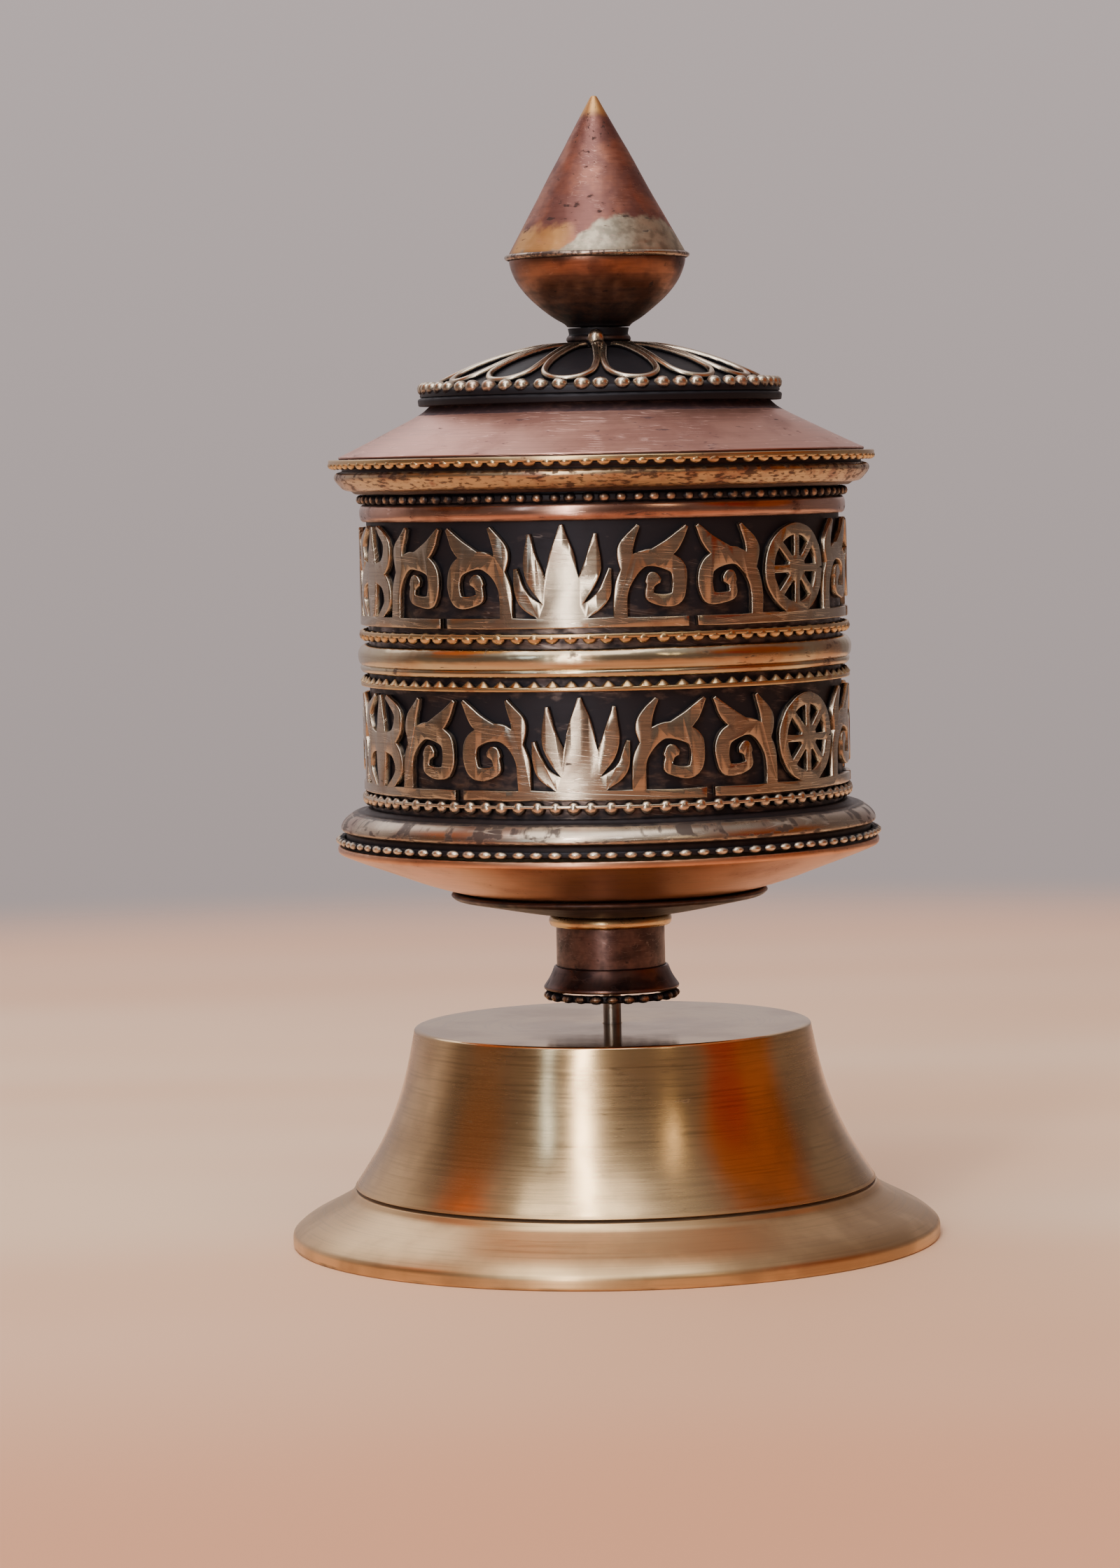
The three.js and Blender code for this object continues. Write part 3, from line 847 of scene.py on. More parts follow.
@dataclass
class Foot:
    """The turned brass foot with its pin, washer and nut."""

    wall: float = 2.2
    plate: float = 2.6
    groove_depth: float = 0.28
    groove_half: float = 0.2
    thread_pitch: float = 0.5

    def flare(self, bell: Extent) -> list[Corner]:
        """Returns the outer face from the rim up to the top plate, with its turned groove."""
        tall = bell.high - bell.low
        deep = self.groove_depth
        # The two lowest corners of the rim have low wear, so its bottom edge turns towards the dark
        # oxide colour: painted shade where the foot meets the floor.
        return profile(
            bell.radius, bell.low,
            (0, 0, 0.3, 0.3), (0, 0.6, 0.1, 0.5), (0, 1.45, 0.45), (1.5, 2.75, FLOWING),
            (4.4, 4.15, FLOWING), (6.5, 5.35, 0.6), (6.95, 6.05, 0.05),
            (6.95 + deep, 6.12, 0.05, 0), (7.2 + deep, 6.12 + self.groove_half, 0.05, 0),
            (7.1, 6.45, 0.05), (8.1, 7.9, 0.8),
            (10.3, 11.4, FLOWING), (12.2, 16, FLOWING), (13.3, 20, FLOWING),
            (14.05, tall - 0.15, 0.2), (14.4, tall, 0.2),
        )

    def build(self) -> None:
        """Makes the foot's pieces."""
        bell = Extent.of("foot_bell")
        pin = Extent.of("pivot_pin")
        hole = pin.radius + GAP
        under = bell.high - self.plate
        hollow = profile(
            0, bell.low,
            (-22.4, 12.8, FLOWING, 0.5), (-26.2, 6.6, FLOWING, 0.5), (-31, 2.3, FLOWING, 0.5),
            (self.wall - bell.radius, 0, 0.3, 0.7),
        )
        inside = [
            Corner(hole, bell.high, 0.2, 0.5), Corner(hole, under, 0.1, 0.4),
            Corner(20.2, under, 1.2, 0.5), *hollow,
        ]
        turned_piece("foot_bell", "foot", FOOT_BRASS, [*self.flare(bell), *inside], FOOT_SIDES)
        plain_tube("pin_washer", "foot", hole)
        hex_nut("pin_nut", "foot", hole)
        self.pin(pin, Extent.of("pin_nut"))

    def pin(self, pin: Extent, nut: Extent) -> None:
        """Makes the pin with its thread below and its point above."""
        outline = [Corner(0, pin.low), Corner(pin.radius * 0.75, pin.low, 0.1)]
        thread_top = nut.high + 1.0
        z = pin.low + 0.3
        while z < thread_top:
            outline.append(Corner(pin.radius, z, 0.05))
            outline.append(Corner(pin.radius * 0.84, z + self.thread_pitch / 2, 0.05, 0.2))
            z += self.thread_pitch
        outline += [
            Corner(pin.radius, z, 0.1), Corner(pin.radius, pin.high - 2.6, 0.4),
            Corner(0.15, pin.high, 0.1), Corner(0, pin.high),
        ]
        turned_piece("pivot_pin", "foot", PIN_STEEL, outline, ROD_SIDES)


def hex_nut(node: str, body: str, bore: float) -> bpy.types.Object:
    """Makes a chamfered six-sided nut in the place of a CAD node."""
    nut = Extent.of(node)
    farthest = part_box(node)[1]
    across = max(farthest.x, farthest.y) / MM
    bore /= math.cos(math.pi / 6)
    bevel = 0.35, 0.3
    corners = [
        Corner(bore, nut.low), Corner(across - bevel[0], nut.low, 0.1),
        Corner(across, nut.low + bevel[1], 0.1), Corner(across, nut.high - bevel[1], 0.1),
        Corner(across - bevel[0], nut.high, 0.1), Corner(bore, nut.high),
    ]
    piece = Piece(node + "_piece")
    piece.turn(corners, 6, 2)
    bmesh.ops.rotate(
        piece.mesh, cent=(0, 0, 0), matrix=Matrix.Rotation(math.pi / 6, 3, "Z"),
        verts=piece.mesh.verts,
    )
    return piece.finish(INNER_BRASS, body, node)


# ---------- beaded wires ----------


class Edging(Enum):
    """How a beaded wire shows its beads."""

    ROUND = "whole beads"
    HANGING = "scallops that hang below a strip"
    STANDING = "scallops that stand on a strip"


@dataclass
class BeadedWire:
    """A ring of beads or teeth, soldered round the drum or the lid."""

    node: str
    body: str
    finish: Metal
    count: int
    edging: Edging = Edging.ROUND
    fullness: float = 0.5
    inner: float = 0.0
    strip: float = 0.42
    seed: int = 1

    def build(self) -> None:
        """Makes the wire."""
        extent = Extent.of(self.node)
        piece = Piece(self.node + "_piece")
        tall = extent.high - extent.low
        inner = self.inner or extent.radius - 1.05
        depth = extent.radius - inner
        ring = inner + depth * 0.42
        half = Vector((0, depth * 0.56, tall * 0.485))
        if self.edging is Edging.ROUND:
            edge, centre = inner + depth * 0.45, extent.middle
            low, high = extent.low + tall * 0.12, extent.high - tall * 0.12
        elif self.edging is Edging.HANGING:
            edge, low, high = inner + depth * 0.86, extent.high - tall * self.strip, extent.high
            half.z = (low - extent.low) * 0.97
            centre = low
        else:
            edge, low, high = inner + depth * 0.86, extent.low, extent.low + tall * self.strip
            half.z = (extent.high - high) * 0.48
            centre = high + half.z
        self.core(piece, inner, edge, low, high)
        self.string(piece, ring, centre, half)
        piece.finish(self.finish, self.body, self.node)

    def core(self, piece: Piece, inner: float, outer: float, low: float, high: float) -> None:
        """Adds the plain ring that the beads sit on."""
        worn = 0.15 if self.edging is Edging.ROUND else 0.95
        soft = (high - low) * 0.3
        piece.turn(
            [Corner(inner, low, soft, 0), Corner(outer, low, soft, worn),
             Corner(outer, high, soft, worn), Corner(inner, high, soft, 0)],
            TURN_SIDES, 3,
        )

    def string(self, piece: Piece, ring: float, centre: float, half: Vector) -> None:
        """Adds the beads, each a little different."""
        chance = random.Random(self.seed)
        pitch = 2 * math.pi * ring / self.count
        for i in range(self.count):
            angle = (i + chance.uniform(-0.06, 0.06)) * 2 * math.pi / self.count
            turn = Matrix.Rotation(angle, 4, "Z")
            size = half.copy()
            size.x = pitch * self.fullness
            size *= chance.uniform(0.9, 1.0)
            outward = turn.to_3x3() @ Vector((0, -1, 0))
            place = turn @ Matrix.Translation((0, -ring, centre))
            piece.bead(place, size, outward, self.edging is Edging.STANDING)


# ---------- drum ----------


@dataclass
class Drum:
    """The drum's wall, bands, flange, bowl and lower disc."""

    wall: float = 0.7
    sheet: float = 0.8
    wall_wear: tuple[tuple[float, float], ...] = (
        (50.4, 0.55), (53.5, 0.42), (60.5, 0.34), (62, 0.42), (68.6, 0.55), (71.5, 0.42), (78, 0.34)
    )

    def build(self) -> None:
        """Makes the drum's turned pieces and beaded wires."""
        shell = Extent.of("drum_wall")
        turned_piece("drum_wall", "drum", WALL_COPPER, [
            Corner(shell.radius - self.wall, shell.low, 0.15, 0.3),
            Corner(shell.radius, shell.low, 0.15, 0.2),
            *(Corner(shell.radius, height, 0, wear) for height, wear in self.wall_wear),
            Corner(shell.radius, shell.high, 0.15, 0.3),
            Corner(shell.radius - self.wall, shell.high, 0.15, 0.5),
        ])
        face = shell.radius + GAP
        self.bands(face)
        self.flange(face)
        self.bottom()
        wires = [
            ("neck_beads", BEAD_BRASS, 94, Edging.ROUND, 0.4, 0, 0.42),
            ("middle_beads_upper", TOOTH_BRASS, 85, Edging.HANGING, 0.42, 0, 0.42),
            ("middle_beads_lower", TOOTH_BRASS, 85, Edging.STANDING, 0.46, 0, 0.42),
            ("panel_beads", WIRE_BRASS, 85, Edging.HANGING, 0.4, 0, 0.3),
            ("flange_beads", WIRE_BRASS, 94, Edging.ROUND, 0.42, 29.36, 0.42),
        ]
        for seed, (node, *rest) in enumerate(wires, 3):
            BeadedWire(node, "drum", *rest, seed=seed).build()

    def bands(self, face: float) -> None:
        """Makes the copper band at the neck and the brass band round the middle."""
        neck = Extent.of("copper_band")
        turned_piece("copper_band", "drum", WARM_COPPER, [
            Corner(face, neck.low, 0, 0), Corner(neck.radius - 0.2, neck.low, 0.3, 0.6),
            *profile(neck.radius, neck.middle, (0, -0.4, 0.4), (0, 0.4, 0.4)),
            Corner(neck.radius - 0.25, neck.high, 0.3, 0.4), Corner(face, neck.high, 0, 0),
        ], dents=(0.14, 5.0, 1))
        band = Extent.of("middle_band")
        high = band.high - band.low
        turned_piece("middle_band", "drum", BAND_BRASS, [
            Corner(face, band.low, 0, 0),
            *profile(
                band.radius, band.low,
                (0.45, 0, 0.25, 0.8), (0.2, 0.45, 0.25), (0.45, 0.75, 0.12, 0.75), (0.1, 1.05, 0.4),
                (0, high / 2 + 0.5, FLOWING), (0.15, high - 0.5, FLOWING), (0.55, high, 0.35, 0.7),
            ),
            Corner(face, band.high, 0, 0),
        ], dents=(0.24, 6.0, 2))

    def flange(self, face: float) -> None:
        """Makes the flared lower flange."""
        flange = Extent.of("flange_band")
        upper = profile(
            face, flange.high,
            (0, 0, 0, 0), (-0.5, 0, 0.2, 0.1), (-0.9, -0.45, 0.3, 0.1), (-1.9, -0.45, 0.3, 0.6),
            (-2.9, -1.05, FLOWING),
        )
        lower = profile(
            flange.radius, flange.low,
            (0, 1.55, 0.25, 0.9), (0.55, 1.3, 0.2, 0), (0.6, 0, 0.1, 0),
            (flange.radius - face, 0, 0, 0),
        )
        edge = Corner(flange.radius, flange.high - 1.9, FLOWING)
        turned_piece("flange_band", "drum", PALE_BRASS, [*upper, edge, *lower], dents=(0.1, 7.0, 3))

    def bottom(self) -> None:
        """Makes the copper bowl and the dark disc under it."""
        bowl = Extent.of("bowl")
        hole = Extent.of("sleeve").radius + 0.08
        wall = self.sheet
        turned_piece("bowl", "drum", BOWL_COPPER, [
            *profile(0, bowl.low, (-hole, 0, 0.1, 0.2), (-18, 2.1, FLOWING, 0.9),
                     (-25.4, 4.9, FLOWING), (-28.4, 6, FLOWING)),
            *profile(bowl.radius, bowl.high, (0.15, -0.85, 0.3, 0.8), (0.2, -0.12, 0.3, 0.6)),
            *profile(0, bowl.low + wall, (-28.2, 6, FLOWING, 0.5), (-25.1, 4.9, FLOWING, 0.5),
                     (-17.8, 2.1, FLOWING, 0.5), (-hole, 0, 0.1, 0.5)),
        ], dents=(0.05, 8.0, 4))
        disc = Extent.of("lower_disc")
        turned_piece("lower_disc", "drum", BLACK_COPPER, [
            *profile(0, disc.low, (-hole - 0.3, 0, 0.1, 0.4), (-10, 0.55, FLOWING, 0.5)),
            *profile(disc.radius, disc.high, (0.4, -0.55, 0.2, 0.6), (0, -0.2, 0.12, 0.7),
                     (0.3, 0, 0.1, 0.4)),
            *profile(0, disc.low + wall, (-10, 0.55, FLOWING, 0.2), (-hole - 0.3, 0, 0.1, 0.2)),
        ], dents=(0.2, 9.0, 5))


@dataclass
class Sleeve:
    """The tube under the drum, and the parts inside the drum that turn on the pin."""

    wall: float = 0.7
    play: float = 0.3

    def build(self) -> None:
        """Makes the sleeve, its trim and the running parts."""
        sleeve = Extent.of("sleeve")
        inner = sleeve.radius - self.wall
        turned_piece("sleeve", "drum", SLEEVE_COPPER, [
            Corner(inner, sleeve.low, 0.15, 0.5), Corner(sleeve.radius, sleeve.low, 0.15, 0.6),
            Corner(sleeve.radius, sleeve.middle, 0, 0.75),
            Corner(sleeve.radius, sleeve.high, 0.15, 0.4), Corner(inner, sleeve.high, 0.15, 0.3),
        ], SLEEVE_SIDES, (0.12, 3.0, 6))
        collar = Extent.of("sleeve_collar")
        face = sleeve.radius + GAP
        turned_piece("sleeve_collar", "drum", TOOTH_BRASS, [
            Corner(face, collar.low, 0, 0.2), Corner(collar.radius - 0.2, collar.low, 0.3, 0.8),
            Corner(collar.radius, collar.middle, FLOWING, 1),
            Corner(collar.radius - 0.2, collar.high, 0.3, 0.8), Corner(face, collar.high, 0, 0.2),
        ], SLEEVE_SIDES, (0.08, 1.5, 7))
        skirt = Extent.of("sleeve_foot")
        turned_piece("sleeve_foot", "drum", SLEEVE_COPPER, [
            Corner(face, skirt.low, 0, 0.2), Corner(skirt.radius - 0.1, skirt.low, 0.15, 0.8),
            Corner(skirt.radius, skirt.low + 0.3, 0.2, 0.9),
            *profile(face, skirt.high, (-0.75, -1.2, FLOWING, 0.7), (-0.3, 0, 0.15, 0.9),
                     (0, 0, 0, 0.3)),
        ], SLEEVE_SIDES)
        BeadedWire("sleeve_foot_beads", "drum", BEAD_BRASS, 24, fullness=0.48,
                   inner=sleeve.radius + 0.4, seed=9).build()
        self.running_parts(inner)

    def running_parts(self, inner: float) -> None:
        """Makes the bush, hub, axle tube and pivot cup."""
        pin = Extent.of("pivot_pin")
        tube = Extent.of("axle_tube")
        cup = Extent.of("pivot_cup")
        bore = 1.5
        plain_tube("guide_bush", "drum", pin.radius + self.play, inner - GAP, 0.25)
        plain_tube("sleeve_hub", "drum", tube.radius + GAP, inner - GAP)
        plain_tube("axle_tube", "drum", bore)
        seat = tube.high + GAP
        dimple = pin.high + self.play
        turned_piece("pivot_cup", "drum", FOOT_BRASS, [
            Corner(0, cup.high, 0, 0.8), Corner(2.4, cup.high, 0.3),
            Corner(cup.radius, cup.high - 0.8, 0.3), Corner(cup.radius, cup.low + 1.4, 0.1),
            *profile(cup.radius, cup.low, (0.25, 1.2, 0.1, 0.2), (0, 1, 0.1), (0, 0, 0.2)),
            Corner(tube.radius + GAP, cup.low, 0.1, 0.3),
            Corner(tube.radius + GAP, seat, 0, 0.2), Corner(bore, seat, 0, 0.2),
            Corner(bore, dimple - 1.6, 0, 0.2), Corner(0, dimple, 0, 0.2),
        ], SMALL_SIDES)


@dataclass
class PaperRoll:
    """The rolled paper inside the drum with its thread ties."""

    layer: float = 0.42
    uneven: float = 0.16

    def build(self) -> None:
        """Makes the roll, whose ends show its layers, and its ties."""
        roll = Extent.of("paper_roll")
        bore = Extent.of("axle_tube").radius + 0.3
        chance = random.Random(12)
        layers = int((roll.radius - bore) / self.layer)
        gaps = roll.high - self.uneven * 2.2
        outline = [
            Corner(bore, roll.low, 0, 0.5), Corner(roll.radius, roll.low, 0.2),
            Corner(roll.radius, roll.high - self.uneven, 0.1),
        ]
        for i in range(layers):
            outer = roll.radius - i * self.layer
            top = roll.high - chance.uniform(0, self.uneven)
            outline += profile(outer, top, (0.04, 0, 0.03), (self.layer - 0.14, 0, 0.03))
            outline.append(Corner(outer - self.layer + 0.08, gaps, 0, 0.2))
        outline.append(Corner(bore, gaps, 0, 0.4))
        piece = Piece("paper_roll_piece")
        piece.turn(outline, SLEEVE_SIDES, 1)
        piece.finish(ROLL_PAPER, "drum", "paper_roll")
        for node in ("paper_tie_lower", "paper_tie_upper"):
            tie = Extent.of(node)
            inner = roll.radius + GAP
            turned_piece(node, "drum", TIE_THREAD,
                         [Corner(inner, tie.low + 0.1, 0, 0.5), Corner(tie.radius, tie.middle, 0.6),
                          Corner(inner, tie.high - 0.1, 0, 0.5)], SLEEVE_SIDES)


# ---------- ornament ----------

Stroke = tuple[tuple[float, float, float], ...]


def mirrored(strokes: Sequence[Stroke]) -> list[Stroke]:
    """Returns the strokes with their left-hand copies."""
    return [*strokes, *(tuple((-x, y, w) for x, y, w in s) for s in strokes)]


RAIL: Stroke = ((-13.3, -4.9, 1.1), (13.3, -4.9, 1.1))
VOLUTES = mirrored([
    ((6, -4.8, 1.5), (6.3, -0.8, 1.6), (8.6, 1.8, 1.9), (12, 0.8, 1.8), (11.9, -2.4, 1.5),
     (9.3, -2.3, 1.1), (9.2, -0.8, 0.9)),
    ((8.7, -0.9, 0.5), (9.5, -0.5, 1.7), (10.3, -0.6, 0.5)),
    ((9.4, 1.9, 1.6), (11.5, 3.1, 1.7), (13.2, 5.2, 0.4)),
    ((6.9, 0.4, 1.5), (6.6, 2.8, 1.7), (8, 5.3, 0.4)),
])
BLOSSOM = [
    ((0, -4.6, 3.6), (0, 1.4, 3), (0, 5.5, 0.4)),
    *mirrored([
        ((0.6, -3.6, 1.4), (3, 0.4, 2), (3.5, 4.6, 0.4)),
        ((0.8, -4.4, 1.4), (4, -2.4, 1.5), (5, 0.9, 0.4)),
    ]),
]
SCEPTRE = [
    ((0, -4.8, 1.6), (0, 0.4, 2.6), (0, 5.5, 0.4)),
    *mirrored([
        ((0.4, 0.7, 1.2), (3.3, 1.2, 1.7), (4.1, 3.5, 1.4), (1.6, 5.4, 0.4)),
        ((0.4, 0.1, 1.2), (3.3, -0.4, 1.7), (4.1, -2.7, 1.4), (1.7, -4.7, 0.6)),
    ]),
]


def circle_stroke(radius: float, width: float, centre: float) -> Stroke:
    """Returns a stroke that runs round a circle and meets its own start."""
    turns = [i * math.pi / 8 for i in range(17)]
    return tuple((radius * math.cos(a), centre + radius * math.sin(a), width) for a in turns)


def wheel_strokes(centre: float = 0.2) -> list[Stroke]:
    """Returns a wheel with eight spokes and a hub."""
    spokes = []
    for i in range(4):
        c, s = 4.2 * math.cos(i * math.pi / 4), 4.2 * math.sin(i * math.pi / 4)
        spokes.append(((-c, centre - s, 0.8), (0, centre, 0.8), (c, centre + s, 0.8)))
    return [circle_stroke(4.25, 1.3, centre), circle_stroke(0.8, 1.3, centre), *spokes]


class Motif(Enum):
    """The three designs that alternate round a row."""

    BLOSSOM = 0
    WHEEL = 1
    SCEPTRE = 2

    def strokes(self) -> list[Stroke]:
        """Returns the design's strokes, with the rail and scrolls that all share."""
        return [RAIL, *VOLUTES, *(BLOSSOM, wheel_strokes(), SCEPTRE)[self.value]]


@dataclass
class OrnamentPlate:
    """A plate of pierced ornament, sawn from sheet and bent round the drum's wall."""

    node: str
    motif: Motif
    azimuth: float
    middle: float
    wall: float
    thickness: float = 0.8
    edge: float = 0.12
    half_width: float = 14.0
    slice_width: float = 0.9
    wobble: float = 0.11
    seed: int = 0

    def build(self) -> None:
        """Makes the plate."""
        piece = Piece(self.node + "_piece")
        self.lay_flat(piece.mesh)
        self.thicken(piece.mesh)
        self.bend(piece.mesh)
        inner = self.wall
        piece.set_wear(
            piece.mesh.verts,
            lambda co: (math.hypot(co.x, co.y) - inner - 0.1) / (self.thickness * 0.62),
        )
        piece.finish(PLATE_BRASS, "drum", self.node)

    def wobbled(self, point: Vector) -> Vector:
        """Moves a point of the drawing a little, as a hand-guided saw would."""
        place = Vector((point.x, point.y, self.seed * 4.7)) / 2.1
        return Vector((point.x + self.wobble * noise.noise(place),
                       point.y + self.wobble * noise.noise(place + Vector((31, 17, 5)))))

    def lay_flat(self, mesh: bmesh.types.BMesh) -> None:
        """Joins all strokes into one flat pierced sheet."""
        points: list[Vector] = []
        edges: list[tuple[int, int]] = []
        triangles: list[tuple[int, int, int]] = []
        for stroke in self.motif.strokes():
            line = flowing([Vector(p) for p in stroke], 10 if len(stroke) < 10 else 3)
            first = len(points)
            for i, here in enumerate(line):
                ahead = line[min(i + 1, len(line) - 1)]
                behind = line[max(i - 1, 0)]
                side = Vector((behind.y - ahead.y, ahead.x - behind.x)).normalized()
                side *= max(here.z, 0.3) / 2
                points += [self.wobbled(here.xy + side), self.wobbled(here.xy - side)]
            for k in range(first, len(points) - 3, 2):
                edges += [(k, k + 1), (k, k + 2), (k + 1, k + 3), (k + 1, k + 2)]
                triangles += [(k, k + 1, k + 2), (k + 1, k + 3, k + 2)]
            edges.append((len(points) - 2, len(points) - 1))
        flat, _, faces, *_ = delaunay_2d_cdt(points, edges, [], 0, 1e-3)
        covered = BVHTree.FromPolygons([p.to_3d() for p in points], triangles)
        verts = [mesh.verts.new((p.x, p.y, 0)) for p in flat]
        for face in faces:
            centre = sum((flat[i] for i in face), Vector((0, 0))) / len(face)
            if covered.ray_cast(Vector((*centre, 1)), Vector((0, 0, -1)))[0]:
                mesh.faces.new([verts[i] for i in face])
        bmesh.ops.delete(mesh, geom=[v for v in mesh.verts if not v.link_faces], context="VERTS")
        bmesh.ops.dissolve_limit(mesh, angle_limit=0.02, verts=mesh.verts, edges=mesh.edges)
        bmesh.ops.triangulate(mesh, faces=mesh.faces, ngon_method="EAR_CLIP")

    def thicken(self, mesh: bmesh.types.BMesh) -> None:
        """Gives the sheet its thickness and rounds its upper edge."""
        grown = bmesh.ops.extrude_face_region(mesh, geom=list(mesh.faces))["geom"]
        top = [g for g in grown if isinstance(g, bmesh.types.BMFace)]
        lifted = [g for g in grown if isinstance(g, bmesh.types.BMVert)]
        bmesh.ops.translate(mesh, vec=(0, 0, self.thickness - self.edge), verts=lifted)
        bmesh.ops.recalc_face_normals(mesh, faces=mesh.faces)
        for inward, rise in ((0.35, 0.65), (0.65, 0.35)):
            bmesh.ops.inset_region(
                mesh, faces=top, thickness=self.edge * inward, depth=self.edge * rise,
                use_even_offset=False, use_boundary=True,
            )

    def bend(self, mesh: bmesh.types.BMesh) -> None:
        """Cuts the plate into narrow slices and bends it round the wall."""
        reach = int(self.half_width / self.slice_width)
        for i in range(-reach, reach + 1):
            everything = [*mesh.verts, *mesh.edges, *mesh.faces]
            bmesh.ops.bisect_plane(
                mesh, geom=everything, dist=MERGE, plane_co=(i * self.slice_width, 0, 0),
                plane_no=(1, 0, 0),
            )
        for vert in mesh.verts:
            angle = vert.co.x / self.wall + math.radians(self.azimuth)
            radius = self.wall + vert.co.z
            height = self.middle + vert.co.y
            vert.co = Vector((radius * math.sin(angle), -radius * math.cos(angle), height))


@dataclass
class OrnamentRows:
    """The two rows of six plates."""

    turns: dict[str, float] = field(default_factory=lambda: {"upper": -10.0, "lower": -6.5})
    plates: int = 6
    drawing_rise: float = 5.45

    def build(self) -> None:
        """Makes all twelve plates."""
        wall = Extent.of("drum_wall").radius + GAP
        for row, turn in self.turns.items():
            for i in range(self.plates):
                node = f"{row}_ornament_{i + 1}"
                extent = Extent.of(node)
                OrnamentPlate(
                    node, Motif(i % len(Motif)), turn + i * 360 / self.plates,
                    extent.low + self.drawing_rise, wall, seed=i + (0 if row == "upper" else 20),
                ).build()


# ---------- lid ----------


@dataclass
class Lid:
    """The spun copper cover with its brass skirt and lip."""

    sheet: float = 0.8

    def build(self) -> None:
        """Makes the cover, skirt and lip."""
        cover = Extent.of("lid_cover")
        bore = 3.3
        shoulder = cover.high - 6.0
        wall = self.sheet
        top = cover.high
        turned_piece("lid_cover", "lid", PINK_COPPER, [
            *profile(0, top, (-bore, 0, 0.1, 0.6), (-11, -1.2, FLOWING, 0.5),
                     (-17.6, -4, FLOWING, 0.4)),
            *profile(0, shoulder, (-19.7, 0.1, 0.5, 0.2), (-21, -0.62, 0.6, 0.8),
                     (-25, -2.62, FLOWING), (-28.2, -4.18, FLOWING)),
            *profile(cover.radius, cover.low, (0, 0.85, 0.2, 0.9), (0.3, 0.1, 0.1, 0.3)),
            *profile(0, shoulder - wall, (-25, -2.62, FLOWING, 0.5), (-19.5, 0.1, 0.5, 0.5)),
            *profile(0, top - wall, (-17.3, -4, FLOWING, 0.5), (-10.8, -1.2, FLOWING, 0.5),
                     (-bore, 0, 0.1, 0.5)),
        ], dents=(0.06, 7.0, 8))
        self.skirt(Extent.of("lid_skirt"))
        BeadedWire("lid_rim_wire", "lid", TOOTH_BRASS, 94, Edging.HANGING, 0.4,
                   inner=29.3, strip=0.55, seed=11).build()

    def skirt(self, skirt: Extent) -> None:
        """Makes the flared skirt that slips over the drum's wall."""
        bore = Extent.of("drum_wall").radius + 0.32
        turned_piece("lid_skirt", "lid", GOLD_BRASS, [
            *profile(bore, skirt.low, (0, 0, 0.1, 0.2), (-0.9, 0, 0.2, 0.2), (-1.2, 0.3, 0.2, 0.4),
                     (-2.1, 0.45, 0.35, 0.9)),
            *profile(skirt.radius, skirt.low, (0.05, 1.25, FLOWING), (-0.25, 1.75, FLOWING),
                     (-0.1, 2.2, 0.3, 0.85), (0.75, 2.45, 0.2, 0), (0.6, 2.95, 0.1, 0)),
            Corner(bore, skirt.high - 0.05, 0.1, 0.2),
        ], dents=(0.12, 5.0, 9))


